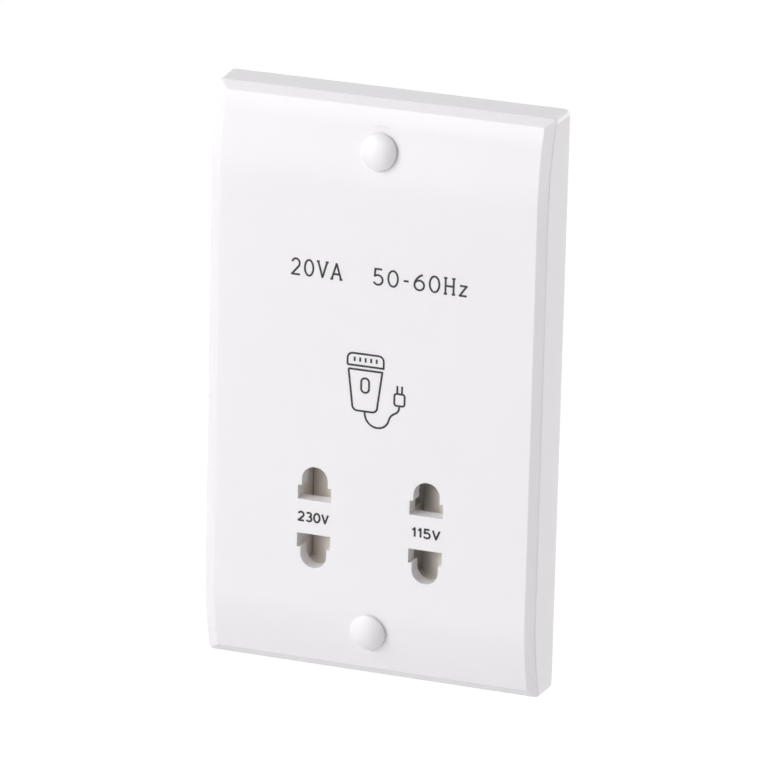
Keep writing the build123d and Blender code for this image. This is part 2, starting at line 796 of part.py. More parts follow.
# Cover over the contacts, with slots for their tags and feet that hold the terminal block
tag_reach = contact_centre + (contact_height - contact_thickness) / 2
tag_zs = (outlet_height + tag_reach, outlet_height - tag_reach)
tags_at = [(x, z) for z in tag_zs for x in outlet_xs]
tag_back = pocket_back + contact_tag_length
foot_bottom = outlet_height - contact_centre
foot_top = block_top - foot_drop
with BuildPart() as contact_cover:
    with BuildSketch(upright(contact_cover_back)):
        with Locations((0, outlet_height)):
            RectangleRounded(carrier_width - 2 * guide_wall, 2 * (tag_reach + contact_cover_rim), guide_wall)
        with Locations(*tags_at):
            Rectangle(
                contact_tag_width + tag_slot_gap,
                contact_thickness + tag_slot_gap,
                mode=Mode.SUBTRACT,
            )
        with Locations(*columns_at):
            Circle(thread_radius + screw_clearance, mode=Mode.SUBTRACT)
    extrude(amount=contact_cover_wall)
    with BuildSketch(upright(block_front)):
        for side in (-1, 1):
            with Locations((side * (block_width / 2 - block_lip), (foot_bottom + foot_top) / 2)):
                Rectangle(block_lip, foot_top - foot_bottom)
    extrude(amount=block_front - contact_cover_back)
contact_cover.part.label = "contact_cover"

# Bar that joins the two lower contacts, with the tag for the common lead
common_x = -pin_pitch / 2
with BuildPart() as common_bus_bar:
    with BuildSketch(upright(contact_cover_back + bus_thickness)):
        with Locations((0, tag_zs[1])):
            Rectangle(outlet_pitch + contact_tag_width + 2 * bus_thickness, bus_width)
            with Locations((outlet_xs[0], 0), (outlet_xs[1], 0)):
                Rectangle(contact_tag_width, contact_thickness, mode=Mode.SUBTRACT)
    extrude(amount=bus_thickness)
    with BuildSketch(upright(tag_back)):
        with Locations((common_x, tag_zs[1])):
            Rectangle(contact_tag_width, contact_thickness)
    extrude(amount=tag_back - contact_cover_back)
common_bus_bar.part.label = "common_bus_bar"

# Transformer core: an E and an I of stacked laminations round a bobbin
with BuildPart() as transformer_e_core:
    with BuildSketch(upright(core_back)):
        with Locations((0, (core_bottom + core_limb_top) / 2)):
            Rectangle(2 * core_half, 4 * lamination)
        with Locations((0, (core_yoke_top + core_limb_top) / 2)):
            with GridLocations(3 * lamination, 1, 2, 1):
                Rectangle(lamination, 3 * lamination, mode=Mode.SUBTRACT)
    extrude(amount=core_stack)
transformer_e_core.part.label = "transformer_e_core"

with BuildPart() as transformer_i_core:
    with BuildSketch(upright(core_back)):
        with Locations((0, core_top - lamination / 2)):
            Rectangle(2 * core_half, lamination)
    extrude(amount=core_stack)
transformer_i_core.part.label = "transformer_i_core"

bobbin_bottom = core_yoke_top + bobbin_gap
bobbin_top = core_limb_top - bobbin_gap
bobbin_middle = (bobbin_bottom + bobbin_top) / 2
flange_zs = (bobbin_bottom, bobbin_middle - flange_thickness / 2, bobbin_top - flange_thickness)
front_pins_at = [(x, core_middle - flange_y + pin_inset) for x in (-pin_pitch, 0, pin_pitch)]
rear_pins_at = [((i - 1.5) * pin_pitch, core_middle + flange_y - pin_inset) for i in range(4)]
pin_top = bobbin_bottom + flange_thickness / 2
pin_tip = bobbin_bottom - pin_rail_height - pin_length
rail_width = 3 * pin_pitch + 4 * pin_inset
with BuildPart() as bobbin:
    with BuildSketch(Plane.XY.offset(bobbin_bottom)):
        with Locations((0, core_middle)):
            Rectangle(2 * tube_x, 2 * tube_y)
    extrude(amount=bobbin_top - bobbin_bottom)
    for z in flange_zs:
        with BuildSketch(Plane.XY.offset(z)):
            with Locations((0, core_middle)):
                RectangleRounded(2 * flange_x, 2 * flange_y, bobbin_corner)
        extrude(amount=flange_thickness)
    # rails that carry the pins, in front of the core and behind it
    for front, back in (
        (core_middle - flange_y, core_front - pin_rail_setback),
        (core_back + pin_rail_setback, core_middle + flange_y),
    ):
        with BuildSketch(Plane.XY.offset(bobbin_bottom - pin_rail_height)):
            with Locations((0, (front + back) / 2)):
                Rectangle(rail_width, back - front)
        extrude(amount=pin_rail_height)
    with BuildSketch(Plane.XY.offset(bobbin_bottom)):
        with Locations((0, core_middle)):
            Rectangle(2 * tube_in_x, 2 * tube_in_y)
    extrude(amount=bobbin_top - bobbin_bottom, mode=Mode.SUBTRACT)
    with BuildSketch(Plane.XY.offset(pin_tip)):
        with Locations(*front_pins_at, *rear_pins_at):
            Circle(pin_radius)
    extrude(amount=pin_top - pin_tip, mode=Mode.SUBTRACT)
bobbin.part.label = "bobbin"

with BuildPart() as bobbin_pins:
    with BuildSketch(Plane.XY.offset(pin_tip)):
        with Locations(*front_pins_at, *rear_pins_at):
            Circle(pin_radius)
    extrude(amount=pin_top - pin_tip)
bobbin_pins.part.label = "bobbin_pins"


def winding(bottom, top):
    """One coil of enamelled wire filling a chamber of the bobbin."""
    with BuildPart() as coil_body:
        with BuildSketch(Plane.XY.offset(bottom)):
            with Locations((0, core_middle)):
                RectangleRounded(2 * coil_x, 2 * coil_y, coil_build / 2)
                Rectangle(2 * tube_x, 2 * tube_y, mode=Mode.SUBTRACT)
        extrude(amount=top - bottom)
    return coil_body


chambers = ((flange_zs[0] + flange_thickness, flange_zs[1]), (flange_zs[1] + flange_thickness, flange_zs[2]))
primary_winding = winding(*chambers[0])
primary_winding.part.label = "primary_winding"
secondary_winding = winding(*chambers[1])
secondary_winding.part.label = "secondary_winding"

with BuildPart() as winding_tape:
    for bottom, top in chambers:
        with BuildSketch(Plane.XY.offset(bottom)):
            with Locations((0, core_middle)):
                RectangleRounded(2 * tape_x, 2 * tape_y, coil_build / 2 + tape_thickness)
                RectangleRounded(2 * coil_x, 2 * coil_y, coil_build / 2, mode=Mode.SUBTRACT)
        extrude(amount=top - bottom)
winding_tape.part.label = "winding_tape"

# Thermal cut-out strapped to the front of the primary, with its legs bent to the outer front pins
cutout_back = core_middle - tape_y
cutout_z = (chambers[0][0] + chambers[0][1]) / 2
leg_y = cutout_back - cutout_depth / 2
leg_z = pin_tip + pin_length / 2
with BuildPart() as thermal_cutout:
    with BuildSketch(upright(cutout_back)):
        with Locations((0, cutout_z)):
            RectangleRounded(cutout_width, cutout_height, cutout_corner)
    extrude(amount=cutout_depth)
    for side in (-1, 1):
        with BuildLine() as leg_path:
            FilletPolyline(
                (side * cutout_width / 2, leg_y, cutout_z),
                (side * pin_pitch, leg_y, cutout_z),
                (side * pin_pitch, leg_y, leg_z),
                (side * pin_pitch, front_pins_at[0][1] - pin_radius, leg_z),
                radius=cutout_leg_bend,
            )
        leg = leg_path.wires()[0]
        with BuildSketch(Plane(origin=leg @ 0, x_dir=(0, 1, 0), z_dir=leg % 0)):
            Rectangle(cutout_leg, cutout_leg)
        sweep(path=leg)
thermal_cutout.part.label = "thermal_cutout"

# Rear cover: a box over the works, on a flange that screws to the plate's bosses
wall_gap_x = block_width / 2 + block_gap
vent_xs = [(i - (vent_count - 1) / 2) * vent_pitch for i in range(vent_count)]
with BuildPart() as rear_cover:
    with BuildSketch(upright(cover_depth)):
        RectangleRounded(cover_width, cover_height, cover_corner)
    extrude(amount=cover_depth - flange_front)
    fillet(faces().sort_by(Axis.Y)[-1].edges(), cover_wall / 2)
    with BuildSketch(upright(flange_front + flange_wall)):
        RectangleRounded(flange_width, flange_height, cover_corner)
    extrude(amount=flange_wall)
    with BuildSketch(upright(cover_inside)):
        inner_corner = cover_corner - cover_wall
        RectangleRounded(cover_width - 2 * cover_wall, cover_height - 2 * cover_wall, inner_corner)
    extrude(amount=cover_inside - flange_front, mode=Mode.SUBTRACT)
    # ribs that press the core against the plate's posts
    hold_front = core_back - cradle_hold
    add(cradle_posts(hold_front, cover_inside + cover_wall / 2, hold_front, core_back))
    # notch for the terminal block in the back and bottom walls
    with BuildSketch(upright(cover_depth)):
        with Locations((0, (cover_bottom + block_top + block_gap) / 2)):
            Rectangle(2 * wall_gap_x, block_height + block_gap)
    extrude(amount=block_depth + block_gap, mode=Mode.SUBTRACT)
    # vents over the transformer
    with BuildSketch(upright(cover_depth)):
        with Locations(*[(x, vent_centre) for x in vent_xs]):
            SlotOverall(vent_length, vent_width, rotation=90)
    extrude(amount=cover_wall, mode=Mode.SUBTRACT)
    with BuildSketch(upright(flange_front + flange_wall)):
        with Locations(*cover_screws_at):
            Circle(thread_radius + screw_clearance)
    extrude(amount=flange_wall, mode=Mode.SUBTRACT)
rear_cover.part.label = "rear_cover"

cover_screw_length = flange_wall + cover_thread_bite - thread_end_gap
rear_cover_screws = small_screw(cover_screws_at, flange_front + flange_wall, cover_screw_length)
rear_cover_screws.part.label = "rear_cover_screws"

# Terminal block in the cover's notch: its lip bears on the inside of the back wall
cage_top = block_top - cage_front_skin - cage_wall
cage_bottom = cage_top - cage_height
cage_centre_z = (cage_top + cage_bottom) / 2
cage_back = cover_depth - entry_setback - terminal_head_height - cage_gap
cage_front = cage_back - cage_depth
entry_y = cage_front + cage_wall + entry_size / 2
head_back = cover_depth - terminal_head_sink
head_front = head_back - terminal_head_height
cage_tag_y = cage_front + cage_wall + cage_tag_thickness
with BuildPart() as terminal_block:
    with BuildSketch(upright(cover_depth)):
        with Locations((0, (cover_bottom + block_top) / 2)):
            Rectangle(block_width, block_height)
    extrude(amount=block_depth)
    with BuildSketch(upright(cover_inside)):
        with Locations((0, (block_top + block_lip + cover_bottom + cover_wall + block_gap) / 2)):
            Rectangle(
                block_width + 2 * block_lip,
                block_top + block_lip - cover_bottom - cover_wall - block_gap,
            )
    extrude(amount=block_lip)
    for x in terminal_xs:
        # chamber for the cage, wire entry from below, driver hole from behind
        with BuildSketch(upright(cage_back + cage_gap)):
            with Locations((x, cage_centre_z)):
                Rectangle(cage_width + 2 * cage_gap, cage_height + 2 * cage_gap)
        extrude(amount=cage_depth + 2 * cage_gap, mode=Mode.SUBTRACT)
        with BuildSketch(Plane.XY.offset(cover_bottom)):
            with Locations((x, entry_y)):
                Rectangle(entry_size, entry_size)
        extrude(amount=cage_centre_z - cover_bottom, mode=Mode.SUBTRACT)
        with BuildSketch(upright(cover_depth)):
            with Locations((x, cage_centre_z)):
                Circle(terminal_head_radius + cage_gap)
        extrude(amount=cover_depth - cage_back, mode=Mode.SUBTRACT)
        with BuildSketch(Plane.XY.offset(cage_top)):
            with Locations((x, cage_tag_y)):
                Rectangle(cage_tag_width + 2 * cage_gap, cage_tag_thickness + 2 * cage_gap)
        extrude(amount=block_top - cage_top + block_lip, mode=Mode.SUBTRACT)
terminal_block.part.label = "terminal_block"

with BuildPart() as terminal_cages:
    for x in terminal_xs:
        with BuildSketch(upright(cage_back)):
            with Locations((x, cage_centre_z)):
                Rectangle(cage_width, cage_height)
        extrude(amount=cage_depth)
        with BuildSketch(Plane.XY.offset(cage_bottom)):
            with Locations((x, entry_y)):
                Rectangle(cage_width - 2 * cage_wall, entry_size)
        extrude(amount=cage_height - cage_wall, mode=Mode.SUBTRACT)
        with BuildSketch(upright(cage_back)):
            with Locations((x, cage_centre_z)):
                Circle(terminal_screw_radius)
        extrude(amount=cage_back - entry_y, mode=Mode.SUBTRACT)
        with BuildSketch(Plane.XY.offset(cage_top - cage_wall / 2)):
            with Locations((x, cage_tag_y)):
                Rectangle(cage_tag_width, cage_tag_thickness)
        extrude(amount=block_top + cage_tag_rise - cage_top + cage_wall / 2)
terminal_cages.part.label = "terminal_cages"

with BuildPart() as terminal_screws:
    for x in terminal_xs:
        with BuildSketch(upright(head_back)):
            with Locations((x, cage_centre_z)):
                Circle(terminal_head_radius)
        extrude(amount=terminal_head_height)
        with BuildSketch(upright(head_front)):
            with Locations((x, cage_centre_z)):
                Circle(terminal_screw_radius)
        extrude(amount=head_front - entry_y - entry_size / 4)
        with BuildSketch(upright(head_back)):
            with Locations((x, cage_centre_z)):
                Rectangle(2 * terminal_head_radius, terminal_slot_width)
        extrude(amount=terminal_slot_depth, mode=Mode.SUBTRACT)
terminal_screws.part.label = "terminal_screws"


def lead(points, radii):
    """Insulated lead along straight runs joined by tangent arcs."""
    with BuildPart() as tube:
        with BuildLine() as route:
            FilletPolyline(*points, radius=radii)
        run = route.wires()[0]
        with BuildSketch(Plane(origin=run @ 0, z_dir=run % 0)):
            RegularPolygon(lead_radius, 8)
        sweep(path=run)
    return tube


tag_end_z = block_top + cage_tag_rise
tag_top_z = switch_top + tag_length
lead_level = core_bottom - 3 * lead_radius
front_pin_y = front_pins_at[0][1]
rear_pin_y = rear_pins_at[0][1]
behind_cover = tag_back + lead_bend + slide_gap
live_x, neutral_x = terminal_xs[0], terminal_xs[1]
live_lead = lead(
    (
        (live_x, cage_tag_y, tag_end_z),
        (live_x, cage_tag_y, lead_level),
        (tag_xs[0], switch_y, lead_level),
        (tag_xs[0], switch_y, tag_top_z),
    ),
    (lead_bend, lead_bend),
)
live_lead.part.label = "live_lead"

jog = (pin_tip - tag_top_z) / 3
switched_lead = lead(
    (
        (tag_xs[2], switch_y, tag_top_z),
        (tag_xs[2], switch_y, tag_top_z + jog),
        (pin_pitch, front_pin_y, pin_tip - jog),
        (pin_pitch, front_pin_y, pin_tip),
    ),
    (2 * lead_bend, 2 * lead_bend),
)
switched_lead.part.label = "switched_lead"

neutral_lead = lead(
    (
        (neutral_x, cage_tag_y, tag_end_z),
        (neutral_x, cage_tag_y, lead_level - 2 * lead_bend),
        (0, front_pin_y, lead_level - lead_radius),
        (0, front_pin_y, pin_tip),
    ),
    (2 * lead_bend, 2 * lead_bend),
)
neutral_lead.part.label = "neutral_lead"

common_lead = lead(
    (
        (common_x, tag_back, tag_zs[1]),
        (common_x, behind_cover, tag_zs[1]),
        (common_x, behind_cover, carrier_top - 2 * lead_bend),
        (common_x, rear_pin_y, core_bottom - 3 * lead_bend),
        (common_x, rear_pin_y, pin_tip),
    ),
    (lead_bend, 2 * lead_bend, 2 * lead_bend),
)
common_lead.part.label = "common_lead"


def tap_lead(side):
    """Lead from an upper contact's tag to an outer rear pin of the transformer."""
    x = side * outlet_pitch / 2
    pin_x = side * 1.5 * pin_pitch
    return lead(
        (
            (x, tag_back, tag_zs[0]),
            (x, behind_cover, tag_zs[0]),
            (x, behind_cover, carrier_top - 2 * lead_radius),
            (pin_x, rear_pin_y, core_bottom - 2 * lead_bend),
            (pin_x, rear_pin_y, pin_tip),
        ),
        (lead_bend, 2 * lead_bend, 2 * lead_bend),
    )


tap_230_lead = tap_lead(-1)
tap_230_lead.part.label = "tap_230_lead"
tap_115_lead = tap_lead(1)
tap_115_lead.part.label = "tap_115_lead"

os.makedirs("parts", exist_ok=True)
pieces = (
    front_plate, screw_cap_top, screw_cap_bottom, fixing_screw_top, fixing_screw_bottom,
    outlet_carrier, shutter, shutter_spring, switch_plunger, micro_switch, switch_tags,
    contact_upper_left, contact_upper_right, contact_lower_left, contact_lower_right,
    common_bus_bar, contact_cover, cover_plate_screws, carrier_screws,
    transformer_e_core, transformer_i_core, bobbin, bobbin_pins,
    primary_winding, secondary_winding, winding_tape, thermal_cutout,
    terminal_block, terminal_cages, terminal_screws,
    live_lead, switched_lead, neutral_lead, common_lead, tap_115_lead, tap_230_lead,
    rear_cover, rear_cover_screws,
)
for piece in pieces:
    export_step(piece.part, f"parts/{piece.part.label}.step")
    print(piece.part.label, round(piece.part.volume, 1), len(piece.part.solids()), piece.part.is_valid)
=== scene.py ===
"""Finishes, print, caps, threaded screws, wound spring, stage and camera of a two-voltage shaver socket.

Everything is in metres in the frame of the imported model: +Z is up, the front faces -Y, and the origin lies
on the wall plane, midway between the two fixing screws.
"""

import json
import math

import bmesh
import bpy
from bpy.props import FloatProperty, FloatVectorProperty, IntProperty, PointerProperty
from mathutils import Matrix, Vector
from mathutils.geometry import interpolate_bezier


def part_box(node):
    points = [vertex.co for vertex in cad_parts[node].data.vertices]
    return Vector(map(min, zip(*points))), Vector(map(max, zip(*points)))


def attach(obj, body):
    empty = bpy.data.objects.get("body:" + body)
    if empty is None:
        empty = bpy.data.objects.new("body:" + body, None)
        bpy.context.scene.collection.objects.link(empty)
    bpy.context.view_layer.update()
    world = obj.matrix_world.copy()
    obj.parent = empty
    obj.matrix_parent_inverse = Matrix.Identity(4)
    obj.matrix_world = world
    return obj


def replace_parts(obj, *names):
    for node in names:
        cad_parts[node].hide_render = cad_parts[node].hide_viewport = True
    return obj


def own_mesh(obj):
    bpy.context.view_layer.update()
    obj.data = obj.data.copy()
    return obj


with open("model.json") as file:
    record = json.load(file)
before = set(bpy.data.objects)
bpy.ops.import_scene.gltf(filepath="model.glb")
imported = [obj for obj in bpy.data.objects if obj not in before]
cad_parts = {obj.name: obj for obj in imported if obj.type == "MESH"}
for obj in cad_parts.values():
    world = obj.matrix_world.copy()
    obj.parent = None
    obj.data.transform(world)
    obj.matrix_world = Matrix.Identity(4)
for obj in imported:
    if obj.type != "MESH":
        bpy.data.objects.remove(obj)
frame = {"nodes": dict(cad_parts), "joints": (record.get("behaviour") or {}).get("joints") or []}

bl_info = {
    "name": "Shaver socket",
    "version": (1, 0, 0),
    "blender": (4, 5, 0),
    "location": "View3D > Sidebar > Shaver socket",
    "description": "Finishes, printed marks, screws, stage and camera of a two-voltage shaver socket",
    "category": "Object",
}

MM = 0.001
FIXED_BODY = "unit"
NODE_SLOTS = {
    name: (piece.material_slots[0].name if piece.material_slots else "")
    for name, piece in frame["nodes"].items()
}

# The face is flat in the middle and bends back at both ends on one radius.
PLATE_LOW, PLATE_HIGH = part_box("front_plate")
FACE_Y = PLATE_LOW.y
BENT_END = 21.5 * MM
STRAIGHT_HALF = PLATE_HIGH.z - BENT_END
END_RADIUS = 58.0 * MM

# How much finer the marks on metal are along each axis.
LEVEL_MARKS = (1.0, 40.0, 1.0)
UPRIGHT_MARKS = (40.0, 40.0, 1.0)
EVEN_MARKS = (1.0, 1.0, 1.0)

# The print: each row's height on the face, and its words with their middle and width.
VOLTAGE_Z = -33.0 * MM
VOLTAGES = (
    ("voltage_230V", "230V", -14.5 * MM, 8.1 * MM),
    ("voltage_115V", "115V", 14.4 * MM, 7.4 * MM),
)
RATING_Z = 29.7 * MM
RATINGS = (
    ("rating_power", "20VA", -14.8 * MM, 13.4 * MM),
    ("rating_frequency", "50-60Hz", 11.3 * MM, 24.0 * MM),
)
VOLTAGE_SPACING = 0.26
RATING_SPACING = 0.36
SERIF_REACH = 0.11
SHARPEST_BEND = math.radians(35.0)

# How finely the round shapes are divided.
ARC_STEPS = 12
CORNER_STEPS = 5
DOME_STEPS = 16
RIM_STEPS = 6
CAP_STEPS = 64
PLUG_STEPS = 48
DRUM_STEPS = 720
SCREW_STEPS = 32
THREAD_STEPS = 24
COIL_STEPS = 24
MERGE_DISTANCE = 1e-7

# The stage.
LAMP_DISTANCE = 1.6
FLOOR_REACH = 4.0
FLOOR_GLOW = 1.25
FLOOR_GLOW_SHARE = 0.75
SENSOR_WIDTH = 36.0
CLIP_START = 0.05
CLIP_END = 20.0


class PlasticFinish(bpy.types.PropertyGroup):
    """Colours and gloss of the mouldings."""

    plate_colour: FloatVectorProperty(
        name="Plate", description="Colour of the front plate and caps", subtype="COLOR", size=3,
        min=0.0, max=1.0, default=(0.87, 0.85, 0.87),
    )
    plate_roughness: FloatProperty(
        name="Plate roughness", description="Roughness of the moulded face", subtype="FACTOR",
        min=0.0, max=1.0, default=0.15,
    )
    cap_roughness: FloatProperty(
        name="Cap roughness", description="Roughness of the caps' moulded skin", subtype="FACTOR",
        min=0.0, max=1.0, default=0.3,
    )
    shutter_colour: FloatVectorProperty(
        name="Shutter", description="Colour of the shutter behind the outlets", subtype="COLOR", size=3,
        min=0.0, max=1.0, default=(0.95, 0.885, 0.82),
    )
    carrier_colour: FloatVectorProperty(
        name="Carrier", description="Colour of the outlet carrier and its cover", subtype="COLOR", size=3,
        min=0.0, max=1.0, default=(0.86, 0.83, 0.77),
    )
    cover_colour: FloatVectorProperty(
        name="Rear cover", description="Colour of the rear cover", subtype="COLOR", size=3,
        min=0.0, max=1.0, default=(0.74, 0.74, 0.71),
    )


class MarkSettings(bpy.types.PropertyGroup):
    """Sizes of the printed marks."""

    ink_colour: FloatVectorProperty(
        name="Ink", description="Colour of the print", subtype="COLOR", size=3, min=0.0, max=1.0,
        default=(0.016, 0.015, 0.018),
    )
    numeral_height: FloatProperty(
        name="Voltages", description="Height of the voltages", unit="LENGTH", default=2.7 * MM,
    )
    rating_height: FloatProperty(
        name="Rating", description="Height of the rating", unit="LENGTH", default=4.4 * MM,
    )
    line_width: FloatProperty(
        name="Line", description="Width of the printed lines", unit="LENGTH", default=0.5 * MM,
    )
    print_depth: FloatProperty(
        name="Print depth", description="How far the ink stands off the face", unit="LENGTH",
        default=0.02 * MM,
    )


class CapSettings(bpy.types.PropertyGroup):
    """Sizes of the caps over the fixing screws."""

    diameter: FloatProperty(
        name="Diameter", description="Diameter of the dome", unit="LENGTH", default=9.0 * MM,
    )
    height: FloatProperty(
        name="Height", description="Dome's top above the face", unit="LENGTH", default=2.198 * MM,
    )
    edge: FloatProperty(
        name="Edge", description="Straight edge under the dome", unit="LENGTH", default=0.7 * MM,
    )
    rim_round: FloatProperty(
        name="Rim", description="Rounding of the rim", unit="LENGTH", default=0.25 * MM,
    )
    skirt: FloatProperty(
        name="Skirt", description="How far the edge runs on behind the seat", unit="LENGTH",
        default=0.6 * MM,
    )
    plug_diameter: FloatProperty(
        name="Plug", description="Diameter of the plug", unit="LENGTH", default=8.5 * MM,
    )


class ScrewSettings(bpy.types.PropertyGroup):
    """Sizes of the fixing screws."""

    head_height: FloatProperty(
        name="Head", description="Height of the head", unit="LENGTH", default=2.4 * MM,
    )
    neck_length: FloatProperty(
        name="Neck", description="Length of the plain neck", unit="LENGTH", default=3.5 * MM,
    )
    neck_radius: FloatProperty(
        name="Neck radius", description="Radius of the neck", unit="LENGTH", default=1.55 * MM,
    )
    point_length: FloatProperty(
        name="Point", description="Length of the screw's tapered end", unit="LENGTH", default=0.5 * MM,
    )
    thread_radius: FloatProperty(
        name="Thread", description="Radius over the thread", unit="LENGTH", default=1.75 * MM,
    )
    thread_pitch: FloatProperty(
        name="Pitch", description="Pitch of the thread", unit="LENGTH", default=0.6 * MM,
    )
    thread_depth: FloatProperty(
        name="Depth", description="Depth of the thread", unit="LENGTH", default=0.32 * MM,
    )
    recess_depth: FloatProperty(
        name="Recess", description="Depth of the cross recess", unit="LENGTH", default=1.5 * MM,
    )
    recess_span: FloatProperty(
        name="Recess span", description="Length of the cross's arms, end to end", unit="LENGTH",
        default=4.4 * MM,
    )
    recess_width: FloatProperty(
        name="Recess width", description="Width of the cross's arms", unit="LENGTH", default=0.9 * MM,
    )


class SpringSettings(bpy.types.PropertyGroup):
    """The shutter's return spring."""

    wire: FloatProperty(
        name="Wire", description="Thickness of the wire", unit="LENGTH", default=0.4 * MM,
    )
    turns: IntProperty(name="Turns", description="Number of turns", min=1, default=6)


class StageSettings(bpy.types.PropertyGroup):
    """Camera, lamps and floor."""

    azimuth: FloatProperty(
        name="Azimuth", description="Camera to the right of the front", subtype="ANGLE",
        default=math.radians(19.867),
    )
    elevation: FloatProperty(
        name="Elevation", description="Camera above the level", subtype="ANGLE",
        default=math.radians(18.168),
    )
    roll: FloatProperty(
        name="Roll", description="Turn of the picture", subtype="ANGLE", default=math.radians(1.387),
    )
    distance: FloatProperty(
        name="Distance", description="Camera to the origin", unit="LENGTH", default=1.6264,
    )
    focal_length: FloatProperty(
        name="Lens", description="Focal length", unit="CAMERA", default=317.09,
    )
    shift_right: FloatProperty(
        name="Right", description="Object to the right of the picture's middle", unit="LENGTH",
        default=1.822 * MM,
    )
    shift_up: FloatProperty(
        name="Up", description="Object above the picture's middle", unit="LENGTH", default=0.977 * MM,
    )
    world_level: FloatProperty(
        name="World", description="Light from all round", min=0.0, default=0.255,
    )
    key_watts: FloatProperty(
        name="Key", description="Watts of the lamp at the upper left", min=0.0, default=13.6,
    )
    front_watts: FloatProperty(
        name="Front", description="Watts of the lamp in front, high up", min=0.0, default=5.5,
    )
    fill_watts: FloatProperty(
        name="Fill", description="Watts of the wide lamp low at the left", min=0.0, default=6.2,
    )
    side_watts: FloatProperty(
        name="Side", description="Watts of the lamp behind the right side", min=0.0, default=21.5,
    )
    floor_colour: FloatVectorProperty(
        name="Floor", description="Colour of the floor", subtype="COLOR", size=3, min=0.0, max=1.0,
        default=(0.9, 0.9, 0.9),
    )
    floor_drop: FloatProperty(
        name="Floor drop", description="Floor below the plate", unit="LENGTH", default=0.8,
    )


class Wire:
    """A number that runs through a node tree, with arithmetic that adds Math nodes."""

    def __init__(self, nodes, socket):
        self.nodes = nodes
        self.socket = socket

    def _math(self, operation, *values):
        node = self.nodes.node("ShaderNodeMath", {"operation": operation}, dict(enumerate(values)))
        return Wire(self.nodes, node.outputs[0])

    def __add__(self, other):
        return self._math("ADD", self, other)

    __radd__ = __add__

    def __sub__(self, other):
        return self._math("SUBTRACT", self, other)

    def __rsub__(self, other):
        return self._math("SUBTRACT", other, self)

    def __mul__(self, other):
        return self._math("MULTIPLY", self, other)

    __rmul__ = __mul__


class Nodes:
    """A node tree with one method that adds nodes to it."""

    def __init__(self, tree):
        self.tree = tree

    def node(self, kind, settings, values):
        """Adds a node, sets its settings first, and then gives its sockets their values or links."""
        node = self.tree.nodes.new(kind)
        for name, value in settings.items():
            setattr(node, name, value)
        for key, value in values.items():
            socket = node.inputs[key]
            source = value.socket if isinstance(value, Wire) else value
            if isinstance(source, bpy.types.NodeSocket):
                self.tree.links.new(source, socket)
            else:
                socket.default_value = source
        return node


class Finish(Nodes):
    """One material: a Principled surface, with what varies over it wired in."""

    def __init__(self, name, colour, roughness, **constants):
        self.material = bpy.data.materials.new(name)
        self.material.use_nodes = True
        self.material.diffuse_color = (*colour, 1.0)
        super().__init__(self.material.node_tree)
        self.surface = self.tree.nodes["Principled BSDF"]
        self.surface.inputs["Base Color"].default_value = (*colour, 1.0)
        self.surface.inputs["Roughness"].default_value = roughness
        for socket, value in constants.items():
            self.surface.inputs[socket.replace("_", " ")].default_value = value
        self.colour = colour
        self.roughness = roughness
        self.place = self.node("ShaderNodeTexCoord", {}, {}).outputs["Object"]

    def grain(self, scale, detail=3.0, stretch=(1.0, 1.0, 1.0)):
        """Noise in the object's own place, with this many grains to the metre."""
        mapping = self.node("ShaderNodeMapping", {}, {"Vector": self.place, "Scale": stretch})
        noise = self.node(
            "ShaderNodeTexNoise", {}, {"Vector": mapping.outputs[0], "Scale": scale, "Detail": detail},
        )
        return Wire(self, noise.outputs[0])

    def bands(self, direction, scale, distortion=0.0):
        """Even bands across one axis."""
        wave = self.node(
            "ShaderNodeTexWave", {"bands_direction": direction},
            {"Vector": self.place, "Scale": scale, "Distortion": distortion},
        )
        return Wire(self, wave.outputs["Fac"])

    def shade(self, factor, dark, light):
        """Base colour between two shades of the finish's own colour."""
        low = tuple(channel * dark for channel in self.colour)
        high = tuple(min(channel * light, 1.0) for channel in self.colour)
        mix = self.node(
            "ShaderNodeMix", {"data_type": "RGBA"}, {"Factor": factor, 6: (*low, 1.0), 7: (*high, 1.0)},
        )
        self.tree.links.new(mix.outputs[2], self.surface.inputs["Base Color"])

    def blur(self, factor, spread):
        """Roughness that wanders round its middle value."""
        wandering = factor * (2.0 * spread) + (self.roughness - spread)
        self.tree.links.new(wandering.socket, self.surface.inputs["Roughness"])

    def raise_by(self, height, depth):
        """Bump of a real depth in metres."""
        bump = self.node("ShaderNodeBump", {}, {"Height": height, "Strength": 1.0, "Distance": depth})
        self.tree.links.new(bump.outputs["Normal"], self.surface.inputs["Normal"])


def moulded_gloss(name, colour, roughness):
    """Hard glossy moulding: a little light passes through it, with faint flow, haze and ripple."""
    finish = Finish(
        name, colour, roughness, IOR=1.5, Subsurface_Weight=0.35, Subsurface_Scale=1.5 * MM,
        Subsurface_Radius=(1.0, 1.0, 1.0),
    )
    finish.shade(finish.grain(45.0), dark=0.985, light=1.008)
    finish.blur(finish.grain(260.0, detail=4.0), spread=0.03)
    finish.raise_by(finish.grain(420.0, detail=2.0), depth=0.006 * MM)
    return finish.material


def moulded_matt(name, colour, roughness):
    """Spark-eroded moulding with a fine pebbled skin."""
    finish = Finish(name, colour, roughness, IOR=1.47)
    finish.shade(finish.grain(60.0), dark=0.96, light=1.02)
    finish.blur(finish.grain(900.0, detail=4.0), spread=0.06)
    finish.raise_by(finish.grain(2600.0), depth=0.03 * MM)
    return finish.material


def pressed_metal(name, colour, roughness, stretch):
    """Bright metal with fine marks, drawn out along one way."""
    finish = Finish(name, colour, roughness, Metallic=1.0)
    lines = finish.grain(900.0, detail=4.0, stretch=stretch)
    finish.shade(finish.grain(150.0), dark=0.86, light=1.06)
    finish.blur(lines, spread=0.08)
    finish.raise_by(lines, depth=0.004 * MM)
    return finish.material


